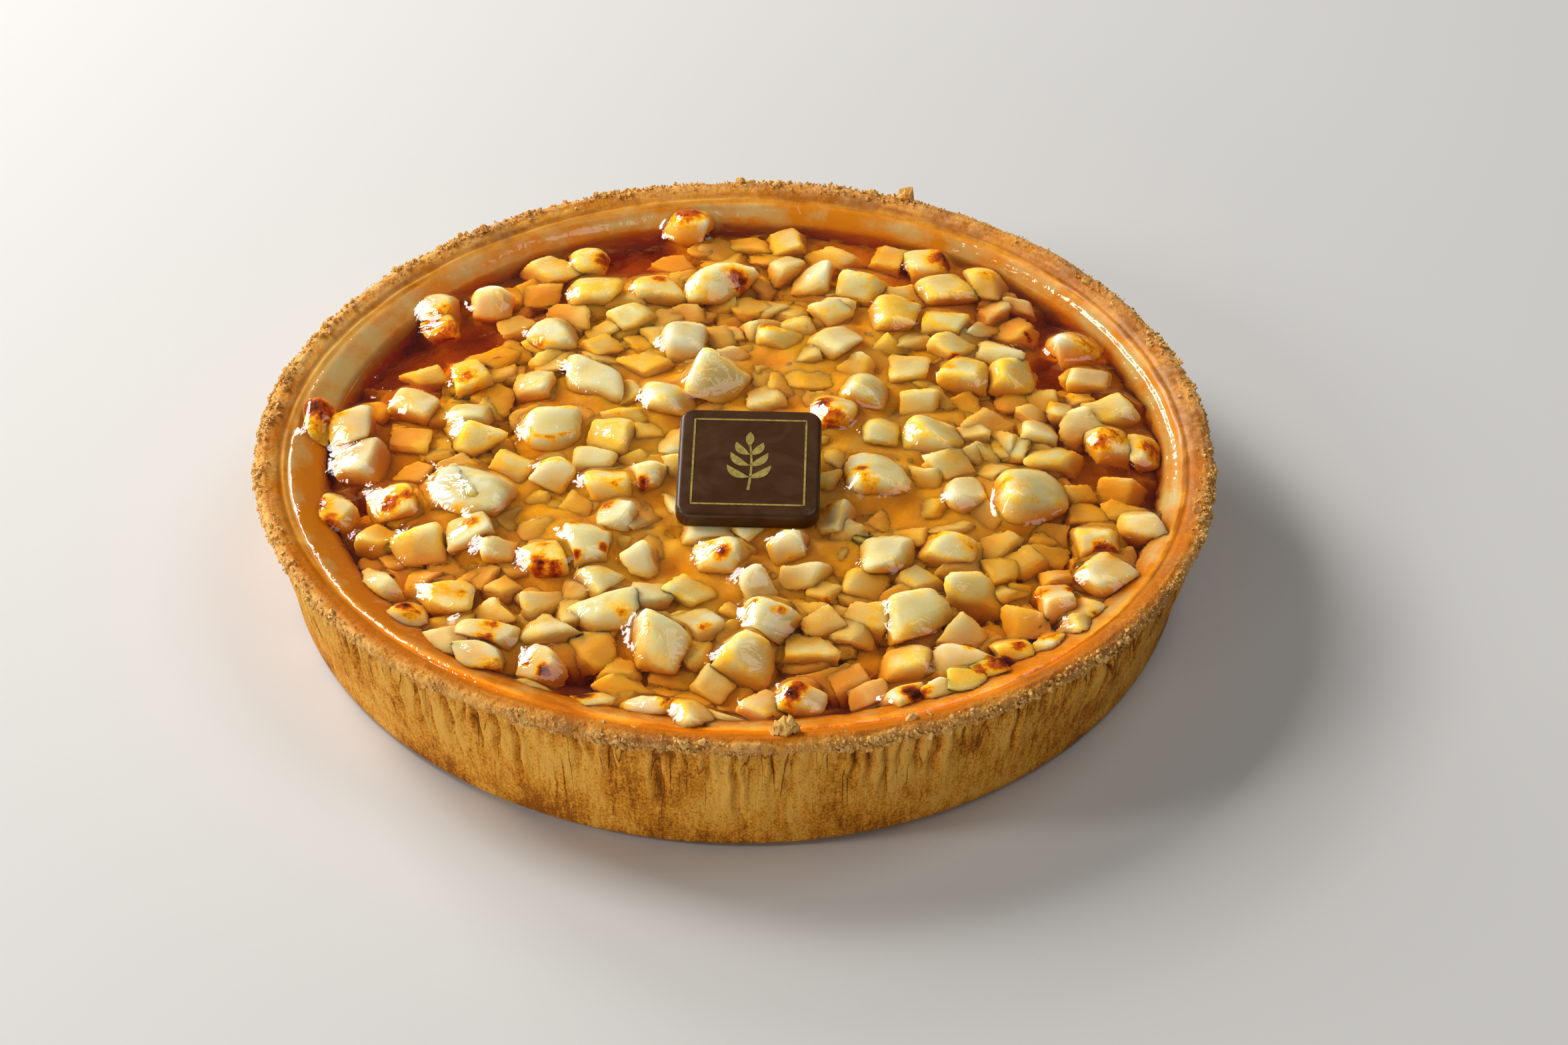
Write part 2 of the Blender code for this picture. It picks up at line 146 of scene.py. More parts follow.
class Finish:
    # A node material: put links or sets an input, add makes a node with its inputs, and the others name
    # the usual nodes; sway is a noise that runs from minus to plus an amount
    def __init__(self, name):
        self.material = bpy.data.materials.new(name)
        self.material.use_nodes = True
        self.tree = self.material.node_tree
        self.shader = self.tree.nodes["Principled BSDF"]
        self.output = self.tree.nodes["Material Output"]
        self.place = self.tree.nodes.new("ShaderNodeTexCoord").outputs["Object"]

    def put(self, socket, value):
        if isinstance(value, bpy.types.NodeSocket):
            self.tree.links.new(value, socket)
        elif hasattr(socket.default_value, "__len__") and len(socket.default_value) == 4:
            socket.default_value = (*value[:3], 1.0)
        else:
            socket.default_value = value

    def add(self, kind, inputs=None, **settings):
        node = self.tree.nodes.new("ShaderNode" + kind)
        for key, value in settings.items():
            setattr(node, key, value)
        for key, value in (inputs or {}).items():
            self.put(node.inputs[key], value)
        return node

    def math(self, operation, first, second=0.0, clamp=False, third=0.0):
        inputs = {0: first, 1: second, 2: third}
        return self.add("Math", inputs, operation=operation, use_clamp=clamp).outputs[0]

    def plus(self, first, second, clamp=False):
        return self.math("ADD", first, second, clamp)

    def times(self, first, second):
        return self.math("MULTIPLY", first, second)

    def noise(self, scale, detail=3.0, roughness=0.55, stretch=None, distortion=0.0):
        place = self.place
        if stretch:
            place = self.add("Mapping", {"Vector": place, "Scale": stretch}).outputs[0]
        inputs = {"Vector": place, "Scale": scale, "Detail": detail, "Roughness": roughness,
                  "Distortion": distortion}
        return self.add("TexNoise", inputs).outputs["Fac"]

    def sway(self, amount, scale, detail=3.0, roughness=0.55, stretch=None):
        noise = self.noise(scale, detail, roughness, stretch)
        return self.between(noise, 0.3, 0.7, -amount, amount)

    def field(self, name):
        return self.add("Attribute", attribute_name=name).outputs["Fac"]

    def between(self, value, low, high, toLow=0.0, toHigh=1.0):
        inputs = {"Value": value, "From Min": low, "From Max": high, "To Min": toLow, "To Max": toHigh}
        return self.add("MapRange", inputs, clamp=True).outputs["Result"]

    def mix(self, share, first, second):
        node = self.add("Mix", data_type="RGBA", clamp_factor=True)
        self.put(node.inputs["Factor"], share)
        self.put(node.inputs[6], first)
        self.put(node.inputs[7], second)
        return node.outputs[2]

    def set(self, **inputs):
        for key, value in inputs.items():
            self.put(self.shader.inputs[key.replace("_", " ")], value)

    def bump(self, height, strength, distance):
        node = self.add("Bump", {"Height": height, "Strength": strength, "Distance": distance})
        self.put(self.shader.inputs["Normal"], node.outputs[0])


pastryColours = {
    "pale": (0.86, 0.455, 0.078),
    "golden": (0.75, 0.295, 0.020),
    "brown": (0.33, 0.098, 0.007),
    "dark": (0.08, 0.022, 0.003),
    "syrup": (0.56, 0.150, 0.001),
    "flour": (0.88, 0.57, 0.235),
    "wetPale": (0.39, 0.31, 0.160),
    "wetGold": (0.43, 0.160, 0.005),
}


def creaseLines(finish):
    # Thin upright lines on the upper wall: where a tall, drawn-out noise crosses its middle, in patches; the
    # crust is drawn browner along them as painted shade in the creases, and its bump is dented
    height = finish.add("SeparateXYZ", {0: finish.place}).outputs["Z"]
    tall = finish.noise(330.0, 1.0, stretch=(1.0, 1.0, 0.05))
    off = finish.math("ABSOLUTE", finish.math("SUBTRACT", tall, 0.5))
    line = finish.between(off, 0.005, 0.032, 1.0, 0.0)
    patch = finish.between(finish.noise(150.0, 2.0, stretch=(1.0, 1.0, 0.3)), 0.46, 0.60)
    ragged = finish.sway(0.007, 220.0, 1.0, stretch=(1.0, 1.0, 0.05))
    reach = finish.plus(height, ragged)
    belowLip = finish.between(height, 0.0325, 0.0312)
    share = finish.times(finish.between(reach, 0.013, 0.021), belowLip)
    return finish.times(line, finish.times(patch, share))


def bakedPastry():
    # Golden crust: the bake field, which also holds painted shade, drives pale to brown, the syrup field
    # stains it orange;
    # blotches, upright fibres, grain and dark specks break both up, and crease lines darken it as painted
    # shade
    finish = Finish("bakedPastry")
    bake = finish.field("bake")
    glaze = finish.field("glaze")
    dry = finish.between(glaze, 0.0, 1.0, 1.0, 0.12)
    blotch = finish.sway(0.44, 75.0, 5.0, 0.6)
    fibre = finish.sway(0.24, 800.0, 4.0, stretch=(1.0, 1.0, 0.14))
    grain = finish.sway(0.42, 1500.0, 3.0, 0.7)
    crease = finish.times(creaseLines(finish), finish.between(glaze, 0.0, 0.1, 1.0, 0.0))
    fine = finish.times(finish.plus(fibre, grain), dry)
    level = finish.plus(finish.plus(bake, blotch), fine)
    # crease lines turn the crust browner: painted shade in the creases
    level = finish.math("MULTIPLY_ADD", crease, 0.75, True, level)
    colour = finish.mix(finish.between(level, 0.05, 0.45), pastryColours["pale"], pastryColours["golden"])
    colour = finish.mix(finish.between(level, 0.45, 0.95), colour, pastryColours["brown"])
    speck = finish.between(finish.noise(800.0, 2.0, 0.6), 0.66, 0.74)
    speck = finish.times(speck, finish.times(dry, 0.55))
    colour = finish.mix(speck, colour, pastryColours["dark"])
    colour = finish.mix(finish.times(finish.field("flour"), 0.48), colour, pastryColours["flour"])
    syrup = finish.field("syrup")
    stain = finish.sway(0.3, 170.0, 4.0, 0.6)
    stain = finish.times(finish.plus(syrup, stain, True), syrup)
    colour = finish.mix(stain, colour, pastryColours["syrup"])
    soaked = finish.mix(finish.between(level, 0.05, 0.60), pastryColours["wetPale"], pastryColours["wetGold"])
    colour = finish.mix(finish.field("wet"), colour, soaked)
    finish.set(Base_Color=colour, Roughness=finish.between(glaze, 0.0, 1.0, 0.70, 0.20))
    finish.set(Specular_IOR_Level=0.10, Subsurface_Weight=0.10, Subsurface_Radius=(0.0030, 0.0014, 0.0006),
               Subsurface_Scale=1.0)
    upright = finish.noise(800.0, 3.0, stretch=(1.0, 1.0, 0.14))
    relief = finish.plus(finish.noise(1500.0, 4.0, 0.7), upright)
    relief = finish.math("SUBTRACT", relief, finish.times(crease, 1.3))
    rough = finish.between(glaze, 0.0, 1.0, 0.9, 0.06)
    finish.bump(relief, rough, 0.0006)
    return finish.material


appleColours = {
    "cream": (0.485, 0.555, 0.60),
    "straw": (0.50, 0.545, 0.42),
    "yellow": (0.61, 0.46, 0.07),
    "soaked": (0.62, 0.41, 0.088),
    "rosy": (0.60, 0.355, 0.175),
    "amber": (0.66, 0.395, 0.006),
    "russet": (0.38, 0.082, 0.003),
    "brown": (0.12, 0.018, 0.002),
    "burnt": (0.018, 0.005, 0.003),
}
# Char from low to high turns the flesh to each colour
charSteps = ((0.05, 0.28, "amber"), (0.30, 0.52, "russet"), (0.56, 0.78, "brown"), (0.84, 0.98, "burnt"))


def cookedApple():
    # Cream flesh: tone runs cream to yellow, soak stains it amber where it lies deep in the jelly;
    # char runs amber, russet, brown, burnt, with a ragged edge
    finish = Finish("cookedApple")
    mottle = finish.sway(0.30, 260.0, 4.0, 0.6)
    grain = finish.sway(0.16, 1300.0, 2.0, 0.6)
    tone = finish.plus(finish.field("tone"), finish.plus(mottle, grain), True)
    colour = finish.mix(finish.between(tone, 0.0, 0.5), appleColours["cream"], appleColours["straw"])
    colour = finish.mix(finish.between(tone, 0.55, 1.0), colour, appleColours["yellow"])
    soak = finish.plus(finish.field("soak"), finish.times(mottle, 0.4), True)
    rose = finish.between(finish.noise(60.0, 2.0), 0.45, 0.60)
    colour = finish.mix(soak, colour, finish.mix(rose, appleColours["soaked"], appleColours["rosy"]))
    field = finish.field("char")
    ragged = finish.between(finish.noise(520.0, 5.0, 0.7), 0.25, 0.75, -0.34, 0.34)
    char = finish.plus(field, finish.times(ragged, finish.between(field, 0.0, 0.3)), True)
    for low, high, name in charSteps:
        colour = finish.mix(finish.between(char, low, high), colour, appleColours[name])
    finish.set(Base_Color=colour, Roughness=0.5, Specular_IOR_Level=0.05, Subsurface_Weight=1.0,
               Subsurface_Radius=(0.0095, 0.0078, 0.0045), Subsurface_Scale=1.0)
    finish.bump(finish.noise(700.0, 5.0, 0.65), 0.55, 0.0005)
    return finish.material


jellyLook = {
    "ior": 1.45,
    "roughness": 0.015,
    "absorbed": (0.055, 0.285, 1.0),
    "density": 170.0,
    "ripple": 0.50,
}


def amberJelly():
    # Clear jelly that takes out blue, then green, with depth; lamps shine through it without caustics
    finish = Finish("amberJelly")
    finish.set(Base_Color=(1.0, 1.0, 1.0), Roughness=jellyLook["roughness"], IOR=jellyLook["ior"],
               Transmission_Weight=1.0, Specular_IOR_Level=0.8)
    clear = finish.add("BsdfTransparent", {"Color": (1.0, 1.0, 1.0)})
    way = finish.add("LightPath").outputs["Is Shadow Ray"]
    both = finish.add("MixShader", {0: way, 1: finish.shader.outputs[0], 2: clear.outputs[0]})
    colour = [1.0 - value for value in jellyLook["absorbed"]]
    depth = finish.add("VolumeAbsorption", {"Color": colour, "Density": jellyLook["density"]})
    finish.bump(finish.noise(300.0, 2.0, distortion=0.8), jellyLook["ripple"], 0.0006)
    finish.put(finish.output.inputs["Surface"], both.outputs[0])
    finish.put(finish.output.inputs["Volume"], depth.outputs[0])
    return finish.material


def darkChocolate():
    # Satin dark chocolate with faint cooling swirls and dust specks
    finish = Finish("darkChocolate")
    swirl = finish.noise(70.0, 3.0, 0.5, distortion=2.5)
    colour = finish.mix(finish.between(swirl, 0.35, 0.65), (0.048, 0.0185, 0.0050), (0.067, 0.0262, 0.0080))
    finish.set(Base_Color=colour, Roughness=finish.between(swirl, 0.35, 0.65, 0.30, 0.42))
    finish.set(Specular_IOR_Level=0.22, Coat_Weight=0.12, Coat_Roughness=0.15)
    finish.bump(swirl, 0.12, 0.0006)
    return finish.material


def goldPrint():
    # Printed gold: metallic powder, a little worn
    finish = Finish("goldPrint")
    wear = finish.between(finish.noise(900.0, 3.0), 0.35, 0.65)
    colour = finish.mix(wear, (0.36, 0.27, 0.045), (0.55, 0.43, 0.11))
    finish.set(Base_Color=colour, Roughness=0.42, Metallic=0.55)
    return finish.material


def paleFloor():
    # Plain matt studio floor
    finish = Finish("paleFloor")
    finish.set(Base_Color=(0.62, 0.61, 0.59), Roughness=0.8)
    return finish.material


pastryFinish = bakedPastry()
appleFinish = cookedApple()
jellyFinish = amberJelly()
chocolateFinish = darkChocolate()
goldFinish = goldPrint()
print("materials made")


# Pastry shell

shell = {
    "columns": 1040,
    "wellOffset": 0.0022,
    "creases": 215,
    "creaseDepth": (0.0004, 0.0018),
    "creaseWidth": (0.00034, 0.00068),
    "creaseRidge": 0.45,
    "creaseWobble": (0.0003, 26.0),
    "folds": 74,
    "foldDepth": (0.0002, 0.0006),
    "foldWidth": (0.0016, 0.0032),
    "crumbRelief": 0.00045,
    "crumbCells": (0.0032, 0.0017, 0.0011),
    "wallSwell": 0.00025,
    "lipSwell": 0.00030,
    "streakRing": (0.017, 0.0008),
    "wallRadius": 0.117,
    "foldRadius": 0.116,
    "rimRadiusWaves": {2: (0.0002, -0.0002), 3: (-0.0004, -0.0003)},
    "baseRadiusWaves": {2: (0.0, -0.0002), 3: (-0.0003, 0.0008)},
    "rimHeightWaves": {1: (-0.0002, -0.0006), 2: (-0.0005, 0.0006)},
}
# How far each thing browns the crust, stains it with syrup or flours it, round the wall, the lip and the
# well; the creases' browning, the darker right of wall and lip and the darker back of the well are painted
# shade, the paler back of the lip and part of the left flour painted light
crust = {
    "patches": 0.14,
    "crumbs": 0.16,
    "creases": 420.0,
    "streaks": 0.16,
    "wallRightShade": 0.24,
    "wallFront": 0.10,
    "lip": 0.20,
    "lipRightShade": 0.24,
    "lipBackLight": 0.06,
    "wellLeft": 0.75,
    "wellFront": 0.75,
    "wellBackShade": 0.36,
    "syrup": 0.40,
    "syrupFront": 0.6,
    "flourAndLightLeft": 2.0,
    "flour": 0.25,
}
# Profile from under the base, up the wall, over the lip and down the well: radius and height in mm, rows
# to here, then the shares of bake, glaze, crumbs, creases, well offset and syrup
profileStops = (
    (60.0, 0.0, 1, 0.6, 0, 0, 0, 0, 0), (110.8, 0.0, 2, 0.6, 0, 0, 0, 0, 0),
    (113.0, 1.0, 3, 0.62, 0, 0, 0.1, 0, 0),
    (114.3, 9.0, 8, 0.44, 0, 0, 0.4, 0, 0), (115.8, 19.5, 13, 0.30, 0, 0, 0.8, 0, 0),
    (117.3, 30.0, 14, 0.40, 0, 0.05, 1.0, 0, 0), (118.3, 31.4, 3, 0.50, 0, 0.5, 0.6, 0, 0),
    (119.8, 33.0, 5, 0.34, 0, 1.0, 0.1, 0, 0), (119.2, 34.6, 5, 0.28, 0, 0.9, 0, 0, 0.20),
    (117.3, 35.1, 6, 0.42, 0.3, 0.6, 0, 0, 0.90), (114.6, 34.2, 8, 0.54, 0.7, 0.25, 0, 0, 1.0),
    (113.4, 33.3, 4, 0.58, 0.9, 0.1, 0, 0, 1.0), (112.7, 33.4, 3, 0.45, 1, 0.1, 0, 0, 0.6),
    (112.0, 33.0, 3, 0.30, 1, 0.05, 0, 0, 0.2), (105.2, 28.5, 9, 0.18, 1, 0, 0, 1, 0.08),
    (103.0, 5.0, 4, 0.55, 1, 0, 0, 1, 0.2), (60.0, 5.0, 1, 0.6, 1, 0, 0, 1, 0.2),
)


def waves(angle, terms):
    # Cosine and sine terms, each keyed by how often it goes round
    return sum(c * np.cos(n * angle) + s * np.sin(n * angle) for n, (c, s) in terms.items())


def profileRows():
    # Straight runs between the stops, then a short running mean that rounds their corners
    stops = np.array(profileStops, float)
    at = np.cumsum(stops[:, 2]) - stops[0, 2]
    rows = np.arange(int(at[-1]) + 1)
    channels = [np.interp(rows, at, stops[:, k]) for k in (0, 1, 3, 4, 5, 6, 7, 8)]
    rounded = [np.convolve(np.pad(c, 1, mode="edge"), (0.22, 0.56, 0.22), mode="valid") for c in channels]
    return np.stack(rounded, axis=1)


def creaseDepths(angle, height):
    # Upright creases hang from the lip at uneven steps, each a bell-shaped groove that leans and fades
    # downwards; wider and softer folds lie lower, each a bell both round the wall and up it
    draw = random.Random(5)
    wobble, turns = shell["creaseWobble"]
    depth = np.zeros(np.broadcast(angle, height).shape)
    reach = np.asarray(height) / shellHigh[2]
    for k in range(shell["creases"]):
        centre = (k + draw.uniform(-0.46, 0.46)) * 2 * math.pi / shell["creases"]
        share = draw.random()
        least, most = shell["creaseDepth"]
        amount = least + share ** 1.6 * (most - least)
        width = draw.uniform(*shell["creaseWidth"])
        lean = draw.uniform(-0.030, 0.030)
        end = 0.78 - 0.62 * share * draw.uniform(0.5, 1.0)
        away = (angle - centre - lean * (1.0 - reach) + math.pi) % (2 * math.pi) - math.pi
        away = away * shell["wallRadius"] + wobble * np.sin(reach * turns + k)
        spread = width * (1.0 + 1.6 * (1.0 - reach))
        ridge = shell["creaseRidge"] * np.exp(-((np.abs(away) - 2.2 * spread) / (1.3 * spread)) ** 2)
        depth += amount * (np.exp(-(away / spread) ** 2) - ridge) * smoothStep(end - 0.10, end + 0.22, reach)
    for k in range(shell["folds"]):
        centre = draw.uniform(0, 2 * math.pi)
        amount = draw.uniform(*shell["foldDepth"])
        width = draw.uniform(*shell["foldWidth"])
        middle = draw.uniform(0.15, 0.6)
        tall = draw.uniform(0.12, 0.30)
        lean = draw.uniform(-0.08, 0.08)
        away = (angle - centre - lean * (reach - middle) + math.pi) % (2 * math.pi) - math.pi
        depth += amount * np.exp(-(away * shell["foldRadius"] / width) ** 2 - ((reach - middle) / tall) ** 2)
    return depth


def makeShell():
    # Profile turned round the axis; radius and height follow the waves, creases pull it in, and crumbs and
    # swellings move it along its normal; then its fields of bake with painted shade, glaze, syrup, flour with
    # some painted light, and wetness
    rows = profileRows()
    columns = shell["columns"]
    angle = np.linspace(0, 2 * math.pi, columns, endpoint=False)[None, :]
    radius, height, bake, glaze, crumb, upright, well, syrup = [rows[:, k][:, None] for k in range(8)]
    radius, height = radius * mm, height * mm
    free = 1.0 - well
    low = smoothStep(0.022, 0.006, height) * free
    rim = smoothStep(0.010, 0.024, height) * free
    r = radius + low * waves(angle, shell["baseRadiusWaves"]) + rim * waves(angle, shell["rimRadiusWaves"])
    creased = upright * creaseDepths(angle, height)
    r = r - creased
    z = height + rim * waves(angle, shell["rimHeightWaves"]) * height / shellHigh[2]
    grid = np.stack([r * np.cos(angle) + well * shell["wellOffset"], r * np.sin(angle), z + 0 * angle], -1)
    normal = pointNormals(grid)
    big, middle, fine = [valueNoise(grid, cell, k + 1) for k, cell in enumerate(shell["crumbCells"])]
    lumps = 0.5 * big + 0.9 * (0.5 - np.abs(middle)) + 0.5 * fine
    swell = shell["wallSwell"] * valueNoise(grid, 0.012, 4) * rim * (1.0 - glaze)
    onTop = glaze * smoothStep(0.0325, 0.0335, height)
    swell = swell + shell["lipSwell"] * onTop * valueNoise(grid, 0.0075, 9)
    grid = grid + normal * (shell["crumbRelief"] * crumb * lumps + swell)[..., None]
    ring, step = shell["streakRing"]  # streaks across the lip: noise on a narrow ring, one step to each row
    path = np.arange(len(rows))[:, None] * step + 0 * angle
    streak = np.stack([ring * np.cos(angle) + 0 * path, ring * np.sin(angle) + 0 * path, path], -1)
    streak = noiseSum(streak, ((1.0, 0.0021, 10), (0.6, 0.0011, 11)))
    inner = smoothStep(0.0336, 0.0345, height) * (1.0 - crumb) + glaze
    right, back = np.cos(angle), np.sin(angle)
    bakedAndShaded = bake + crust["patches"] * valueNoise(grid, 0.018, 6) - crust["crumbs"] * crumb * lumps
    # creased places are browned by their depth: painted shade in the creases
    bakedAndShaded = bakedAndShaded + crust["creases"] * creased + crust["streaks"] * streak * np.clip(inner, 0, 1)
    # darker on the right of the wall: painted shade; paler at the front
    wallShadeAndTone = crust["wallRightShade"] * smoothStep(0.3, 0.9, right)
    wallShadeAndTone = wallShadeAndTone - crust["wallFront"] * smoothStep(0.2, 0.9, -back)
    # the lip is browned, darker on its right as painted shade and paler at its back as painted light
    lipToneShadeAndLight = crust["lip"] + crust["lipRightShade"] * right - crust["lipBackLight"] * back
    bakedAndShaded = bakedAndShaded + wallShadeAndTone * upright + lipToneShadeAndLight * smoothStep(0.0315, 0.0330, height) * free
    wellToneAndShade = crust["wellLeft"] * smoothStep(0.72, 0.97, -0.92 * right - 0.40 * back)
    wellToneAndShade = wellToneAndShade + crust["wellFront"] * smoothStep(0.1, 0.8, -back)
    # darker at the back of the well: painted shade
    backShade = smoothStep(0.3, 0.95, back) * (1.0 - 0.4 * smoothStep(0.2, 0.8, -right))
    wellToneAndShade = wellToneAndShade + crust["wellBackShade"] * backShade
    front = smoothStep(-0.3, 0.8, -back) + 0.25 * smoothStep(0.2, 0.9, -right)
    stain = crust["syrup"] + crust["syrupFront"] * front + 0.35 * valueNoise(grid, 0.010, 8) + 0.18 * streak
    stained = np.clip(syrup * stain, 0, 1)
    # flour heavier on the left of the lip: partly floury crumbs, partly painted light
    pale = 1.0 - np.clip(front, 0, 1) + crust["flourAndLightLeft"] * smoothStep(0.5, 1.0, -right)
    floury = crumb * (0.55 + 0.7 * lumps) * (1.0 - stained)
    floury = floury + crust["flour"] * pale * smoothStep(0.0325, 0.0338, height) * (0.45 + 1.1 * lumps)

    def withPoles(values, below, above):
        return np.concatenate([[below], np.clip(values + 0 * angle, 0, 1).reshape(-1), [above]])

    fields = {
        "bake": withPoles(bakedAndShaded + wellToneAndShade * well, 0.5, 0.5),
        "glaze": withPoles(glaze, 0, 1),
        "syrup": withPoles(stained, 0, 0),
        "flour": withPoles(floury, 0, 0),
        "wet": withPoles(smoothStep(0.0, 0.2, well), 0, 1),
    }
    wellMiddle = (shell["wellOffset"], 0, profileStops[-1][1] * mm)
    points = np.concatenate([[(0, 0, 0)], grid.reshape(-1, 3), [wellMiddle]])
    piece = makePiece("pastryShell", points, pastryFinish, *poleFaces(len(rows), columns), fields)
    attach(piece, "root")
    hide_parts("pastry_shell")
    return grid, normal


shellGrid, shellNormal = makeShell()


# Apple dice

# moved holds, for some dice by their number in the plan, their way in x, y and z and how much they grow
apple = {
    "jellyEdge": 0.0285,
    "jellyCentre": 0.0310,
    "wellRadiusJelly": 0.1052,
    "wellRadiusFloor": 0.1030,
    "floor": 0.0050,
    "heightRange": (0.0095, 0.0115),
    "tilt": 11.0,
    "sizeRange": (0.0095, 0.0135),
    "riseRange": (0.0014, 0.0036),
    "tries": 9000,
    "packing": 0.90,
    "seed": 11,
    "wallMargin": 0.0008,
    "clearance": 0.0003,
    "lowered": (0.0, 0.0005, 0.0012, 0.0018, 0.0024, 0.0030, 0.0038),
    "lowerSeed": 41,
    "moved": {15: (-0.0035, 0.001, 0.0005, 1.0), 16: (-0.0050, 0.0, 0.0042, 1.35),
              **{k: (0.0, -0.0030, 0.0003, 1.0) for k in (41, 42, 67, 68)}},
    "large": 0.0145,
    "overFloor": 0.0006,
}
# Dice that stand out: x, y, length, width in mm, turn in degrees, rise over the jelly in mm
landmarkDice = (
    (-15, 100, 9, 9, 0, 7.0), (-41, 83, 9, 10, 10, 4.5), (-39, 69, 12, 11, -10, 4.5),
    (-22, 69, 11, 10, 5, 4.0), (-7, 70, 15, 11, 0, 5.0), (-66, 62, 11, 10, 15, 3.5),
    (-80, 62, 9, 10, 0, 4.0), (-78, 53, 9, 8, 10, 2.5), (-49, 47, 11, 11, 30, 4.0),
    (-14, 44, 12, 13, 0, 4.5), (-38, 28, 17, 13, -15, 4.5), (-18, 19, 13, 11, -10, 4.0),
    (-5, 26, 13, 14, -15, 4.5), (-69, 31, 9, 13, 20, 3.5), (-47, 4, 17, 13, 5, 5.0),
    (-95, 6, 9, 11, 5, 4.0), (-102, 8, 7, 9, 0, 4.5),
    (32, 71, 15, 13, -10, 4.5), (50, 82, 10, 11, 0, 5.0), (65, 74, 9, 12, -10, 4.0),
    (41, 58, 12, 13, -5, 5.0), (54, 55, 11, 11, -10, 3.5), (88, 45, 11, 10, 10, 3.5),
    (90, 31, 12, 9, -5, 3.0), (96, 18, 11, 11, 15, 3.0), (59, 31, 11, 13, -15, 4.0),
    (70, 31, 11, 13, 5, 4.0), (33, 22, 11, 13, -20, 4.0), (25, 12, 10, 13, -15, 5.0),
    (49, 3, 14, 13, 0, 4.5), (94, 2, 10, 10, 0, 4.0), (102, 1, 7, 10, 10, 3.5),
    (-85, -24, 11, 11, 10, 4.0), (-98, -28, 9, 10, -20, 4.5), (-65, -21, 20, 16, -20, 5.5),
    (-65, -36, 12, 10, 15, 4.0), (-85, -56, 14, 9, -40, 3.0), (-68, -60, 12, 11, 5, 3.5),
    (-78, -68, 8, 10, -30, 4.0), (-55, -75, 12, 9, -10, 3.5), (-45, -86, 9, 10, -30, 3.5),
    (-34, -98, 8, 7, 20, 3.0), (-19, -100, 15, 8, 0, 3.0), (-31, -18, 11, 11, 0, 4.0),
    (-22, -14, 8, 9, 0, 4.0), (-29, -30, 10, 10, -20, 3.5), (-35, -42, 10, 11, 10, 4.5),
    (-45, -46, 10, 12, 20, 4.0), (-29, -66, 14, 12, 15, 4.5), (-16, -79, 12, 13, -10, 4.5),
    (-4, -46, 12, 10, 0, 4.0),
    (34, -13, 12, 16, 10, 5.0), (37, -43, 12, 11, 0, 3.5), (52, -42, 12, 11, -20, 3.5),
    (13, -42, 10, 9, 20, 3.5), (9, -70, 12, 11, -20, 4.0), (44, -65, 14, 12, 20, 4.0),
    (73, -20, 19, 17, 15, 5.0), (99, -29, 10, 11, -10, 3.5), (88, -37, 11, 10, 10, 3.5),
    (90, -51, 12, 12, 30, 4.0), (78, -60, 9, 10, 10, 3.5), (85, -63, 8, 9, -20, 4.0),
    (66, -79, 10, 8, 10, 3.5), (60, -86, 9, 7, 30, 4.5), (41, -83, 11, 10, 0, 3.0),
    (4, -83, 13, 12, -15, 4.0), (16, -94, 10, 9, -20, 4.5), (41, -95, 9, 8, 20, 4.5),
)
# Places where only deep jelly shows, in mm: x, y, radius
bareGaps = (
    (-31, 92, 11), (-88, 44, 11), (-70, 49, 7), (-99, 24, 6), (81, 38, 6), (83, 60, 7),
    (104, -12, 5), (-36, -89, 7), (27, -102, 6), (-93, -18, 4),
)
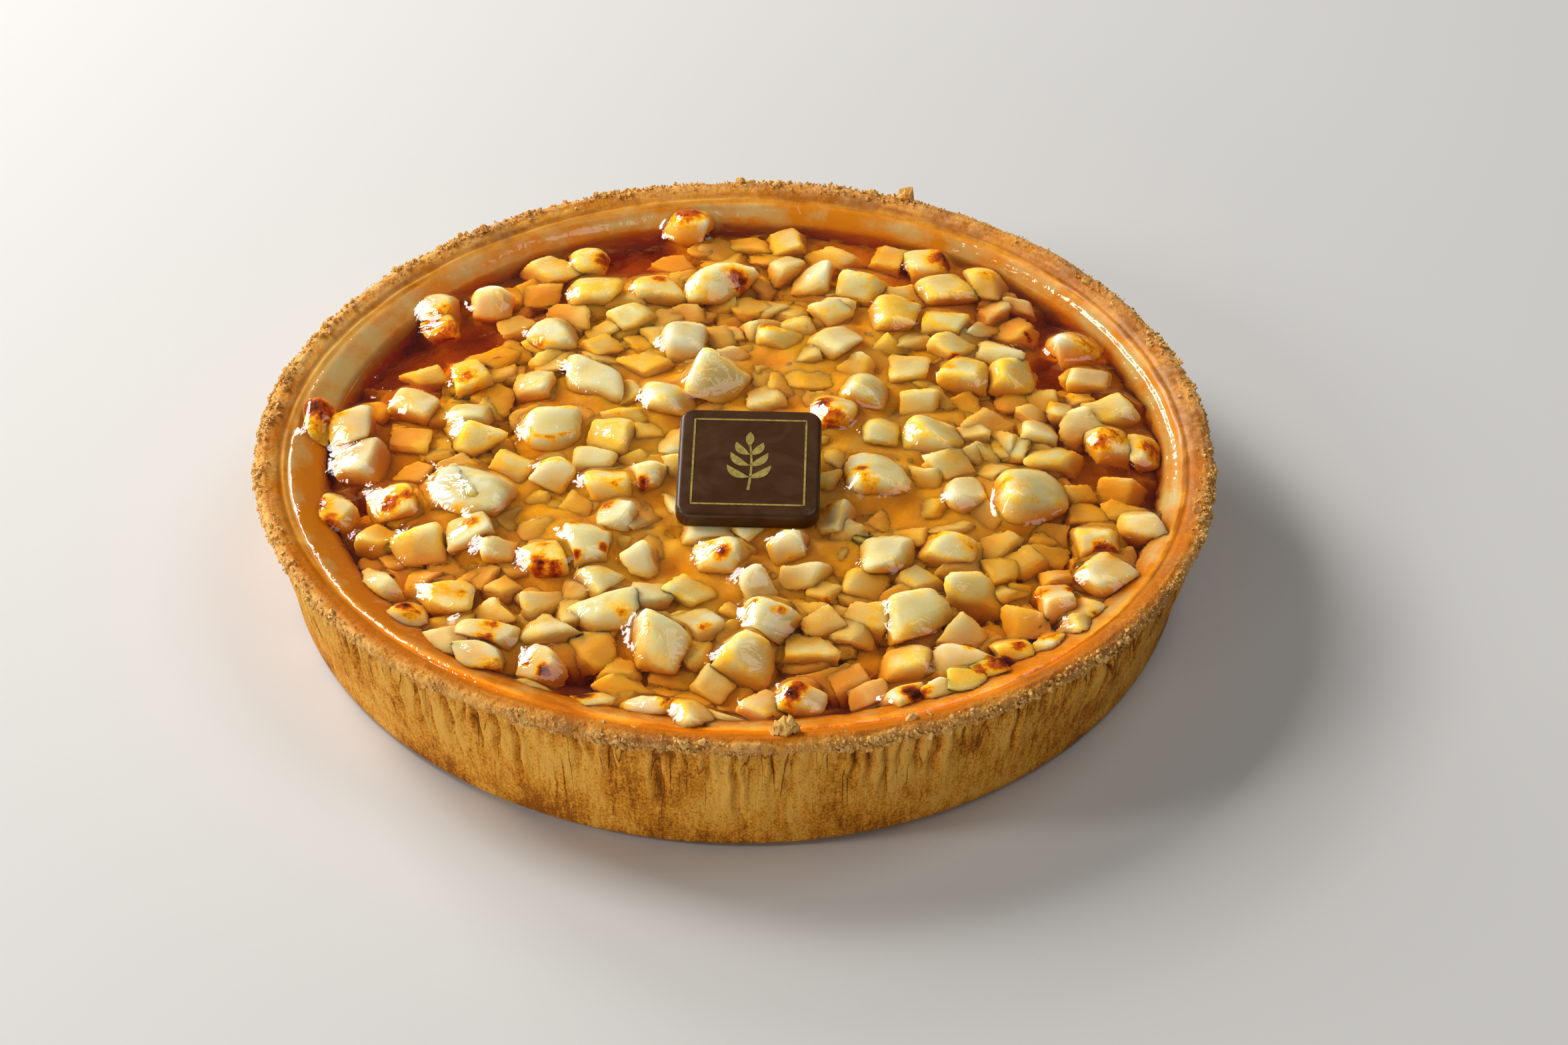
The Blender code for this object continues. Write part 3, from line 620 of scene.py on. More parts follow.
# Browned places on the dice, in mm: x, y, radius, how dark
brownSpots = (
    (-14, 102, 6, 0.80), (-37, 83, 4, 0.6), (-22, 72, 2.5, 0.7), (-1, 72, 3.5, 0.8), (-81, 54, 3, 0.95),
    (-77, 51, 4, 0.6), (-79, 58, 4, 0.45), (-70, 28, 3.5, 0.6), (-66, 23, 3, 0.5), (-5, 33, 2, 0.5),
    (-107, 10, 6, 0.75), (-106, 4, 6, 0.35), (-101, 11, 3, 0.5), (-52, 44, 2.5, 0.5),
    (54, 83, 4.5, 0.85), (63, 81, 2, 0.5), (66, 76, 3, 0.35), (45, 65, 2, 0.5), (48, 57, 2.5, 0.5),
    (88, 46, 2.5, 0.7), (90, 43, 5, 0.4), (84, 33, 2, 0.7), (56, 38, 2.5, 0.7), (54, 32, 2.5, 0.5),
    (7, 51, 2.5, 0.5), (22, 14, 3.2, 1.0), (24, 8, 4, 0.6), (24, 4, 2, 0.95), (76, 52, 1.6, 0.9),
    (77, 49, 4, 0.35), (92, 1, 2.5, 0.7), (94, 3, 5, 0.5), (104, 1, 4, 0.6), (67, 1, 2, 0.4),
    (92, 22, 2, 0.5), (80, 20, 3, 0.3),
    (-85, -26, 3.5, 0.8), (-81, -24, 2.5, 0.75), (-102, -26, 3.5, 0.9), (-99, -32, 3, 0.7),
    (-64, -34, 2.5, 0.7), (-67, -29, 3, 0.3), (-100, -43, 2.5, 0.8), (-97, -38, 3, 0.4),
    (-78, -66, 3, 0.75), (-76, -68, 3, 0.5), (-58, -78, 2.3, 0.95), (-57, -73, 2.5, 0.6),
    (-48, -85, 2, 0.85), (-44, -88, 2, 0.85), (-56, -90, 4, 0.5), (-60, -91, 2, 0.6),
    (-34, -97, 3, 0.9), (-36, -101, 3, 0.55), (-26, -102, 2, 0.6), (-14, -100, 4, 0.6),
    (-23, -17, 1.8, 0.8), (-31, -27, 2.5, 0.75), (-34, -27, 2, 0.5), (-39, -36, 1.5, 0.8),
    (-32, -37, 1.4, 0.8), (-32, -44, 1.6, 0.8), (-38, -47, 1.4, 0.8), (-47, -50, 2.5, 0.95),
    (-43, -52, 2.5, 0.95), (-46, -44, 2, 0.6), (-65, -61, 2.2, 0.65), (-70, -59, 4, 0.3),
    (-26, -69, 2, 0.45), (-20, -77, 1.5, 0.35), (-7, -72, 1.8, 0.7), (-3, -48, 2.4, 0.9),
    (-2, -41, 2, 0.6), (-6, -45, 2, 0.5), (-65, -9, 5, 0.3),
    (27, -15, 2.2, 0.85), (31, -15, 2, 0.75), (33, -19, 3, 0.35), (65, -21, 5, 0.35), (70, -24, 4, 0.3),
    (89, -40, 2.5, 0.8), (92, -41, 2, 0.9), (84, -45, 1.8, 0.95), (84, -51, 1.6, 0.5), (91, -45, 1.5, 0.7),
    (87, -59, 2, 0.9), (91, -60, 2, 0.8), (86, -66, 1.6, 0.6), (74, -58, 2.5, 0.6), (81, -57, 2.2, 0.75),
    (75, -74, 3, 0.6), (67, -78, 2.5, 0.7), (63, -85, 3.8, 1.0), (58, -88, 2.5, 0.7), (55, -79, 1.8, 0.7),
    (5, -67, 1.8, 0.55), (11, -69, 2, 0.7), (16, -95, 2.6, 0.85), (14, -98, 3, 1.0), (42, -97, 3.2, 1.0),
    (45, -96, 2, 0.55), (10, -104, 2, 0.6), (22, -61, 1.8, 0.6),
)
plaque = {
    "side": 0.0353,
    "thickness": 0.0050,
    "corner": 0.0038,
    "edge": 0.0013,
    "unevenness": 0.00006,
    "diceGap": 0.0005,
    "jellyGap": 0.0003,
    "jellyHold": 0.0012,
    "centre": (0.0033, -0.0169, 0.0374),
    "tilt": 12.0,
    "turn": -1.3,
}


def planHeight(x, y):
    # Level jelly, domed as one minus the square of the distance from the well's middle
    share = np.minimum(1.0, np.hypot(x - shell["wellOffset"], y) / apple["wellRadiusJelly"])
    return apple["jellyEdge"] + (apple["jellyCentre"] - apple["jellyEdge"]) * (1.0 - share ** 2)


def inWell(reach, angle):
    # Plan position at a reach and angle from the well's middle
    return shell["wellOffset"] + reach * math.cos(angle), reach * math.sin(angle)


def roomFor(x, y, size, plan, packing):
    # Whether a die of this size keeps its share of the two sizes' mean from every other
    return all(math.hypot(x - o[0], y - o[1]) > packing * (size + (o[2] + o[3]) / 2) / 2 for o in plan)


def offGaps(x, y, margin):
    # Whether a place is clear of every gap by the margin
    return all(math.hypot(x - gx * mm, y - gy * mm) > gr * mm + margin for gx, gy, gr in bareGaps)


def offPlaque(x, y, margin):
    # Whether a place is clear of the plaque by the margin
    across, along = abs(x - plaque["centre"][0]), abs(y - plaque["centre"][1])
    return max(across, along) > plaque["side"] / 2 + margin


def planDice():
    # The landmark dice, then dice thrown at random that keep a size apart, off the wall and off the gaps;
    # a few are moved and made larger, and the thrown ones are lowered by a random step
    draw = random.Random(apple["seed"])
    plan = []

    def keep(x, y, length, width, turn, rise):
        height = draw.uniform(*apple["heightRange"])
        tilts = (draw.uniform(-apple["tilt"], apple["tilt"]), draw.uniform(-apple["tilt"], apple["tilt"]))
        plan.append((x, y, length, width, height, turn, *tilts, rise))

    for x, y, length, width, turn, rise in landmarkDice:
        keep(x * mm, y * mm, length * mm, width * mm, turn, rise * mm)
    for _ in range(apple["tries"]):
        length = draw.uniform(*apple["sizeRange"])
        width = draw.uniform(*apple["sizeRange"])
        room = apple["wellRadiusJelly"] - apple["wallMargin"] - max(length, width) / 2
        reach = room * math.sqrt(draw.random())
        angle = draw.uniform(-math.pi, math.pi)
        turn = draw.uniform(-45.0, 45.0)
        rise = draw.uniform(*apple["riseRange"])
        x, y = inWell(reach, angle)
        size = (length + width) / 2
        if roomFor(x, y, size, plan, apple["packing"]) and offGaps(x, y, size / 3):
            keep(x, y, length, width, turn, rise)
    for k, (dx, dy, lift, grow) in apple["moved"].items():
        sides = [side * grow for side in plan[k][2:5]]
        plan[k] = (plan[k][0] + dx, plan[k][1] + dy, *sides, *plan[k][5:8], plan[k][8] + lift)
    lower = random.Random(apple["lowerSeed"])
    marked = len(landmarkDice)
    return plan[:marked] + [(*die[:8], die[8] - lower.choice(apple["lowered"])) for die in plan[marked:]]


between = {
    "tries": 5000,
    "sizeRange": (0.0080, 0.0112),
    "height": 0.0100,
    "riseRange": (-0.0024, 0.0012),
    "tilt": 12.0,
    "packing": 0.82,
    "seed": 53,
    "wallRoom": 0.006,
    "plaqueRoom": 0.002,
    "thinnedFrom": 0.081,
    "thinned": 0.50,
    "frontTries": 500,
    "frontReach": 0.1062,
    "frontWave": 0.0012,
    "frontLift": 0.0046,
    "frontThinned": 0.15,
}
# Dice under the surface, in layers: how many tries, how deep their tops lie, how far apart they keep,
# and whether some are left out by the wall
sunkLayers = {
    "sunkDice": {"tries": 5200, "depth": (0.0004, 0.0034), "spacing": 0.0088, "seed": 23, "thinned": True},
    "lowDice": {"tries": 4200, "depth": (0.0026, 0.0054), "spacing": 0.0088, "seed": 29, "thinned": True},
    "deepDice": {"tries": 2600, "depth": (0.0085, 0.0130), "spacing": 0.0110, "seed": 37, "thinned": False},
}
sunk = {
    "sizeRange": (0.0090, 0.0125),
    "tilt": 18.0,
    "wallRoom": 0.0062,
    "gapRoom": 0.0035,
    "plaqueRoom": 0.004,
    "thinnedFrom": 0.078,
    "frontFrom": -0.030,
    "thinnedBack": 0.985,
    "thinnedFront": 0.80,
}


def planBetween(plan):
    # Smaller dice thrown between the planned ones, so that the surface is as full as it should be;
    # beside the wall a share of them is left out, so that the jelly shows deep and dark there;
    # the last throws go up the slope at the front, a third of the way round
    draw = random.Random(between["seed"])
    fate = random.Random(between["seed"] + 1)
    more, kept = [], []
    for k in range(between["tries"] + between["frontTries"]):
        length, width = draw.uniform(*between["sizeRange"]), draw.uniform(*between["sizeRange"])
        reach = (apple["wellRadiusJelly"] - between["wallRoom"]) * math.sqrt(draw.random())
        angle = draw.uniform(-math.pi, math.pi)
        turns = [draw.uniform(-a, a) for a in (45.0, between["tilt"], between["tilt"])]
        rise = draw.uniform(*between["riseRange"])
        thinned = between["thinned"] if reach > between["thinnedFrom"] else 0.0
        if k >= between["tries"]:
            reach = between["frontReach"] + between["frontWave"] * math.cos(5.0 * angle)
            angle = -math.pi / 2 + angle / 3
            rise = rise + between["frontLift"]
            thinned = between["frontThinned"]
        x, y = inWell(reach, angle)
        size = (length + width) / 2
        fits = roomFor(x, y, size, plan + more, between["packing"])
        if fits and offGaps(x, y, size / 3) and offPlaque(x, y, between["plaqueRoom"]):
            more.append((x, y, length, width, between["height"], *turns, rise))
            if fate.random() >= thinned:
                kept.append(more[-1])
    return kept


def planSunkDice(layer):
    # Dice thrown at random that keep an even spacing, thinned out by the wall near the surface
    draw = random.Random(layer["seed"])
    plan = []
    for _ in range(layer["tries"]):
        reach = (apple["wellRadiusJelly"] - sunk["wallRoom"]) * math.sqrt(draw.random())
        x, y = inWell(reach, draw.uniform(-math.pi, math.pi))
        sides = [draw.uniform(*sunk["sizeRange"]) for _ in range(3)]
        rise = -draw.uniform(*layer["depth"])
        turns = [draw.uniform(-a, a) for a in (45.0, sunk["tilt"], sunk["tilt"])]
        leftOut = False
        if layer["thinned"] and reach > sunk["thinnedFrom"]:
            leftOut = draw.random() < (sunk["thinnedBack"] if y > sunk["frontFrom"] else sunk["thinnedFront"])
        fits = all(math.hypot(x - o[0], y - o[1]) > layer["spacing"] for o in plan)
        clear = offGaps(x, y, sunk["gapRoom"]) and offPlaque(x, y, sunk["plaqueRoom"])
        if fits and clear and not leftOut:
            plan.append((x, y, *sides, *turns, rise))
    return plan


def cubeSkin(cells):
    # Points and quads on the skin of a cube from -1 to 1, its corners and edges shared
    steps = np.arange(cells + 1)
    i, j = [a.reshape(-1) for a in np.meshgrid(steps, steps, indexing="ij")]
    face = np.arange((cells + 1) ** 2).reshape(cells + 1, cells + 1)
    cell = np.stack([face[:-1, :-1], face[1:, :-1], face[1:, 1:], face[:-1, 1:]], -1).reshape(-1, 4)
    points, quads = [], []
    for axis in range(3):
        for side in (0, cells):
            block = np.zeros((len(i), 3), int)
            block[:, axis] = side
            block[:, (axis + 1) % 3] = i
            block[:, (axis + 2) % 3] = j
            quads.append((cell if side else cell[:, ::-1]) + sum(len(b) for b in points))
            points.append(block)
    points, quads = np.concatenate(points), np.concatenate(quads)
    unique, index = np.unique(points, axis=0, return_inverse=True)
    return 2.0 * unique / cells - 1.0, index.reshape(-1)[quads]


# How the dice are cut: spread of the leaning sides, how far out sides and corner cuts stand as shares of the
# half size, roundness (a high power is sharp), then lumps as height and cell size
cut = {
    "lean": 0.19,
    "sides": (0.82, 1.08),
    "corners": 4,
    "cornersOut": (0.62, 0.94),
    "powers": (9.0, 26.0),
    "largePower": 7.0,
    "lumps": (0.00040, 0.0050),
    "grains": (0.00024, 0.0021),
    "largeLumps": (0.0010, 0.0068),
}
# Colour of the dice: what an edge adds, how dark random browning is, soak with depth and by the wall
diceLook = {
    "edgeTone": 0.50,
    "browned": (0.15, 0.45),
    "soakDepth": (0.0010, 0.0050),
    "soaked": (0.60, 1.00),
    "wallSoak": 0.45,
    "wallReach": (0.076, 0.100),
}


def plaqueFrame():
    # Placement of the plaque: tilted back, then turned a little
    turn = Euler((math.radians(plaque["tilt"]), 0.0, math.radians(plaque["turn"])))
    return Matrix.Translation(plaque["centre"]) @ turn.to_matrix().to_4x4()


def applyMatrix(matrix, points):
    # Points turned and moved by a 4 by 4 matrix
    m = np.array(matrix)
    return points @ m[:3, :3].T + m[:3, 3]


def keepClear(points, sizes):
    # Brings points down under the plaque, and in from the wall of the well and the slope above it
    local = applyMatrix(plaqueFrame().inverted(), points)
    half = plaque["side"] / 2 + sizes[:, None] * 0.5
    underside = -plaque["thickness"] / 2 - plaque["diceGap"]
    under = (np.abs(local[..., 0]) < half) & (np.abs(local[..., 1]) < half) & (local[..., 2] > underside)
    edge = np.maximum(np.abs(local[..., 0]), np.abs(local[..., 1])) - plaque["side"] / 2
    allowed = underside + np.clip(edge, 0, None) * 1.2
    local[..., 2] = np.where(under, np.minimum(local[..., 2], allowed), local[..., 2])
    points = applyMatrix(plaqueFrame(), local)
    dx = points[..., 0] - shell["wellOffset"]
    away = np.hypot(dx, points[..., 1])
    height = points[..., 2]
    slope = (apple["wellRadiusJelly"] - apple["wellRadiusFloor"]) / (apple["jellyEdge"] - apple["floor"])
    limit = apple["wellRadiusFloor"] + slope * (np.minimum(height, apple["jellyEdge"]) - apple["floor"])
    limit = limit - apple["clearance"] + np.clip(height - apple["jellyEdge"] - 0.0003, 0, None) * 1.35
    scale = np.minimum(1.0, limit / np.maximum(away, 1e-9))
    return np.stack([shell["wellOffset"] + dx * scale, points[..., 1] * scale, height], -1)


def shapeDice(plan, cells, seed, grow, lean):
    # Each die is cut by planes: a point in direction d lies at one over the p-norm of max(0, n.d / h),
    # n the unit normals of six leaning sides and a few cut corners, h how far out each stands
    skin, quads = cubeSkin(cells)
    draw = np.random.RandomState(seed)
    count = len(plan)
    table = np.array(plan)
    half = table[:, 2:5] * 0.5 * grow
    axes = np.concatenate([np.eye(3), -np.eye(3)])
    sides = axes[None] + draw.normal(0, cut["lean"], (count, 6, 3))
    sides = sides / np.linalg.norm(sides, axis=-1, keepdims=True)
    out = (np.abs(axes) @ half.T).T * draw.uniform(*cut["sides"], (count, 6))
    corners = draw.normal(0, 1, (count, cut["corners"], 3)) + (0, 0, 0.5)
    corners = corners / np.linalg.norm(corners, axis=-1, keepdims=True)
    cornersOut = np.einsum("dkj,dj->dk", np.abs(corners), half)
    cornersOut = cornersOut * draw.uniform(*cut["cornersOut"], (count, cut["corners"]))
    normals = np.concatenate([sides, corners], 1) / np.concatenate([out, cornersOut], 1)[..., None]
    big = table[:, 2:3] > apple["large"]
    power = np.where(big, cut["largePower"], draw.uniform(*cut["powers"], (count, 1)))[..., None]
    ways = (np.sign(skin) * np.abs(skin) ** 0.72)[None] * half[:, None, :]
    ways = ways / np.linalg.norm(ways, axis=-1, keepdims=True)
    facing = np.clip(np.einsum("dkj,dpj->dpk", normals, ways), 0, None)
    largest = facing.max(-1, keepdims=True)
    reach = 1.0 / (largest[..., 0] * ((facing / largest) ** power).sum(-1) ** (1.0 / power[..., 0]))
    sharp = 1.0 - (facing / largest).max(-1) + np.sort(facing / largest, axis=-1)[..., -2]
    local = ways * reach[..., None]
    turns = [np.array(Euler(np.radians((lean * t[6], lean * t[7], t[5]))).to_matrix()) for t in table]
    centre = np.stack([table[:, 0], table[:, 1], planHeight(table[:, 0], table[:, 1]) + table[:, 8]], -1)
    centre[:, 2] -= table[:, 4] / 2
    points = np.einsum("dij,dpj->dpi", np.array(turns), local) + centre[:, None, :]
    away = points - centre[:, None, :]
    away = away / np.maximum(np.linalg.norm(away, axis=-1, keepdims=True), 1e-9)
    place = points + np.arange(count)[:, None, None] * 0.37
    lumps = noiseSum(place, ((*cut["lumps"], seed), (*cut["grains"], seed + 1)))
    lumps = lumps + big * noiseSum(place, ((*cut["largeLumps"], seed + 2),))
    points = points + away * lumps[..., None]
    top, foot = points[..., 2].max(1, keepdims=True), points[..., 2].min(1, keepdims=True)
    share = np.minimum(1.0, (top - apple["floor"] - apple["overFloor"]) / (top - foot))
    points[..., 2] = top - (top - points[..., 2]) * share  # a die that would reach the pastry is made flatter
    return keepClear(points, table[:, 2]), smoothStep(0.72, 0.97, sharp), quads


def charOn(points):
    # How brown each point is: the strongest spot over it, falling off smoothly from its middle
    char = np.zeros(points.shape[:-1])
    for x, y, radius, dark in brownSpots:
        away = np.hypot(points[..., 0] - x * mm, points[..., 1] - y * mm) / (radius * mm)
        char = np.maximum(char, dark * smoothStep(1.40, 0.15, away))
    return char


def makeDice(name, shape, skin, seed, toneRange, chance):
    # All dice of one layer as one mesh; char gathers on edges, at random or under a browned place,
    # and soak grows with the depth under the jelly's skin
    points, edge, quads = shape
    count, each = points.shape[:2]
    draw = np.random.RandomState(seed + 7)
    tone = draw.uniform(*toneRange, count)[:, None] + diceLook["edgeTone"] * edge
    browned = (draw.random_sample(count) < chance)[:, None] * edge ** 2
    browned = browned * smoothStep(0.0, 0.5, valueNoise(points, 0.006, seed + 9))
    browned = browned * draw.uniform(*diceLook["browned"], count)[:, None]
    char = np.maximum(browned, charOn(points) * (0.82 + 0.30 * edge)) if chance else browned
    depth = readMap(skin, points[..., 0], points[..., 1]) - points[..., 2]
    soak = smoothStep(*diceLook["soakDepth"], depth) * draw.uniform(*diceLook["soaked"], count)[:, None]
    away = np.hypot(points[..., 0] - shell["wellOffset"], points[..., 1])
    byWall = smoothStep(*diceLook["wallReach"], away) * smoothStep(0.0003, 0.0022, depth)
    soak = soak + diceLook["wallSoak"] * byWall
    fields = {"tone": tone, "char": char, "soak": soak}
    fields = {key: np.clip(value, 0, 1).reshape(-1) for key, value in fields.items()}
    faces = repeatFaces(quads, count, each)
    piece = makePiece(name, points.reshape(-1, 3), appleFinish, faces, fields=fields)
    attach(piece, "root")
    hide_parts("apple_filling")


shownPlan = planDice()
betweenPlan = planBetween(shownPlan)
sunkPlans = {name: planSunkDice(layer) for name, layer in sunkLayers.items()}
shownShape = shapeDice(shownPlan, cells=8, seed=31, grow=0.93, lean=1.7)
betweenShape = shapeDice(betweenPlan, cells=7, seed=32, grow=0.93, lean=1.7)
sunkShapes = {
    name: shapeDice(sunkPlans[name], cells=5, seed=layer["seed"], grow=1.0, lean=1.0)
    for name, layer in sunkLayers.items()
}
sunkCounts = [len(plan) for plan in sunkPlans.values()]
print("dice placed:", len(shownPlan), "shown,", len(betweenPlan), "between,", sunkCounts, "sunk")


# Jelly

jelly = {
    "mapReach": 0.116,
    "mapCell": 0.0005,
    "rise": 0.0012,
    "film": 0.00030,
    "coat": 0.00045,
    "fillBlur": 30,
    "fillLift": 0.0012,
    "drape": 14,
    "drapeFoot": 0.0015,
    "blend": 0.0019,
    "ripples": ((0.00022, 0.0046, 73), (0.00013, 0.0021, 74)),
    "gridCells": 304,
    "slopeShare": 0.92,
    "rimRadius": 0.1116,
    "rimHeight": 0.0331,
    "wallOverlap": 0.0004,
    "floorOverlap": 0.0003,
    "slopeFilm": 0.00045,
    "slopeRidge": 0.00030,
    "frontLap": 0.0024,
    "frontRise": 0.00085,
}


def ledge(angle):
    # Radius and height of the jelly's outer edge, which follows the shell's own waves; at the front it
    # laps over the groove
    front = smoothStep(0.30, 0.90, -np.sin(angle))
    radius = jelly["rimRadius"] + waves(angle, shell["rimRadiusWaves"]) + jelly["frontLap"] * front
    height = jelly["rimHeight"] + 0.94 * waves(angle, shell["rimHeightWaves"]) + jelly["frontRise"] * front
    return radius, height


def topMap(layers):
    # Height of the highest die over each cell of a square map, from points spread over every quad
    side = int(2 * jelly["mapReach"] / jelly["mapCell"])
    heights = np.full((side, side), -1.0)
    steps = (np.arange(6) + 0.5) / 6
    u, v = [a.reshape(-1) for a in np.meshgrid(steps, steps)]
    for points, _, quads in layers:
        a, b, c, d = [points[:, quads[:, k]][..., None, :] for k in range(4)]
        u3, v3 = u[:, None], v[:, None]
        spread = a * (1 - u3) * (1 - v3) + b * u3 * (1 - v3) + c * u3 * v3 + d * (1 - u3) * v3
        spread = spread.reshape(-1, 3)
        cell = ((spread[:, :2] + jelly["mapReach"]) / jelly["mapCell"]).astype(int)
        np.maximum.at(heights, (cell[:, 1], cell[:, 0]), spread[:, 2])
    return heights


def blurred(field, times):
    # Repeated three by three mean
    for _ in range(times):
        for axis in (0, 1):
            field = (np.roll(field, 1, axis) + 2 * field + np.roll(field, -1, axis)) / 4
    return field


def widened(field, times):
    # Highest value of each cell and its neighbours, over and over
    for _ in range(times):
        for axis in (0, 1):
            field = np.maximum(field, np.maximum(np.roll(field, 1, axis), np.roll(field, -1, axis)))
    return field


def wallShare(x, y):
    # 0 at the well's edge and 1 at the ledge, along the sloping inner side of the shell
    dx = x - shell["wellOffset"]
    away = np.hypot(dx, y)
    rim = ledge(np.arctan2(y, dx))[0]
    width = rim - apple["wellRadiusJelly"] - shell["wellOffset"] * dx / np.maximum(away, 1e-9)
    return (away - apple["wellRadiusJelly"]) / width


def banked(share, angle):
    # Rise up the slope: even at the back, fuller at the front where the jelly stands nearly up to the ledge
    front = smoothStep(0.0, 0.8, -np.sin(angle))
    return share + front * 0.95 * share * (1.0 - share)


def surfaceMap():
    # The jelly's skin: its level, raised over dice and wall by a film, then drawn smooth like a wet surface;
    # with it the level between the dice
    side = int(2 * jelly["mapReach"] / jelly["mapCell"])
    line = (np.arange(side) + 0.5) * jelly["mapCell"] - jelly["mapReach"]
    x, y = np.meshgrid(line, line)
    level = planHeight(x, y) + jelly["rise"] * smoothStep(0.1055, 0.090, np.hypot(x - shell["wellOffset"], y))
    share = np.clip(wallShare(x, y), 0.0, 1.0)
    level = level + (ledge(np.arctan2(y, x))[1] - apple["jellyEdge"]) * banked(share, np.arctan2(y, x))
    dice = topMap([shownShape, betweenShape, sunkShapes["sunkDice"]])
    place = inPlan(x, y)
    film = jelly["film"] * (1.0 + 0.75 * valueNoise(place, 0.009, 71))
    fill = blurred(np.maximum(level, dice), jelly["fillBlur"]) + jelly["fillLift"] * (1.0 - share)
    fill = np.maximum(level, fill)
    drape = widened(np.maximum(dice, fill - jelly["drapeFoot"]), 2)
    drape = blurred(drape, jelly["drape"]) + jelly["coat"]
    over = np.maximum(drape, dice + film)
    gap = over - fill
    skin = 0.5 * (over + fill + np.sqrt(gap ** 2 + jelly["blend"] ** 2))
    skin = np.maximum(level, skin)
    skin = blurred(skin, 2) + noiseSum(place, jelly["ripples"])
    local = applyMatrix(plaqueFrame().inverted(), np.stack([x, y, skin], -1))
    beyond = np.maximum(np.abs(local[..., 0]), np.abs(local[..., 1])) - plaque["side"] / 2
    normal = np.array(plaqueFrame())[:3, 2]
    centre = np.array(plaque["centre"])
    under = centre[2] - ((x - centre[0]) * normal[0] + (y - centre[1]) * normal[1]) / normal[2]
    under = under - (plaque["thickness"] / 2 + plaque["jellyGap"]) / normal[2]
    under = under + np.clip(beyond + plaque["jellyHold"], 0, None) * 1.1
    return np.minimum(skin, under), blurred(fill, 20)


def readMap(field, x, y):
    # Value of a map between its cells
    fx = np.clip((x + jelly["mapReach"]) / jelly["mapCell"] - 0.5, 0, field.shape[1] - 1.001)
    fy = np.clip((y + jelly["mapReach"]) / jelly["mapCell"] - 0.5, 0, field.shape[0] - 1.001)
    ix, iy = fx.astype(int), fy.astype(int)
    px, py = fx - ix, fy - iy
    upper = field[iy, ix] * (1 - px) + field[iy, ix + 1] * px
    lower = field[iy + 1, ix] * (1 - px) + field[iy + 1, ix + 1] * px
    return upper * (1 - py) + lower * py


def discGrid(cells):
    # A square grid drawn onto a unit disc: rings of squares become rings of circles
    line = np.linspace(-1, 1, cells + 1)
    u, v = np.meshgrid(line, line)
    wide = np.abs(u) > np.abs(v)
    safeU = np.where(u == 0, 1e-9, u)
    safeV = np.where(v == 0, 1e-9, v)
    radius = np.where(wide, u, v)
    angle = np.where(wide, math.pi / 4 * v / safeU, math.pi / 2 - math.pi / 4 * u / safeV)
    return radius * np.cos(angle), radius * np.sin(angle)


def discBorder(cells):
    # Where the points of a disc grid's border stand in it, once round
    index = np.arange((cells + 1) ** 2).reshape(cells + 1, cells + 1)
    return np.concatenate([index[0, :-1], index[:-1, -1], index[-1, :0:-1], index[:0:-1, 0]])


def discBody(top, cells, rings, bottom):
    # Closed body: a disc grid on top, sides down through rings of points, and a fan to the bottom point
    border = discBorder(cells)
    count = len(border)
    k = np.arange(count)
    after = (k + 1) % count
    starts = [border] + [len(top) + count * level + k for level in range(len(rings))]
    sides = [np.stack([b[k], b[after], a[after], a[k]], -1) for a, b in zip(starts, starts[1:])]
    points = np.concatenate([top] + rings + [[bottom]])
    fan = np.stack([starts[-1][after], starts[-1][k], np.full(count, len(points) - 1)], -1)
    return points, np.concatenate([gridFaces(cells + 1, cells + 1, False)] + sides), fan


def wellPlace(share, angle):
    # Plan position: the well's circle out to slopeShare, then out to the ledge's circle
    slope = np.clip((share - jelly["slopeShare"]) / (1 - jelly["slopeShare"]), 0, 1)
    inner = np.minimum(share / jelly["slopeShare"], 1.0) * apple["wellRadiusJelly"]
    radius = inner + slope * (ledge(angle)[0] - apple["wellRadiusJelly"])
    offset = shell["wellOffset"] * (1 - slope)
    return offset + radius * np.cos(angle), radius * np.sin(angle), slope


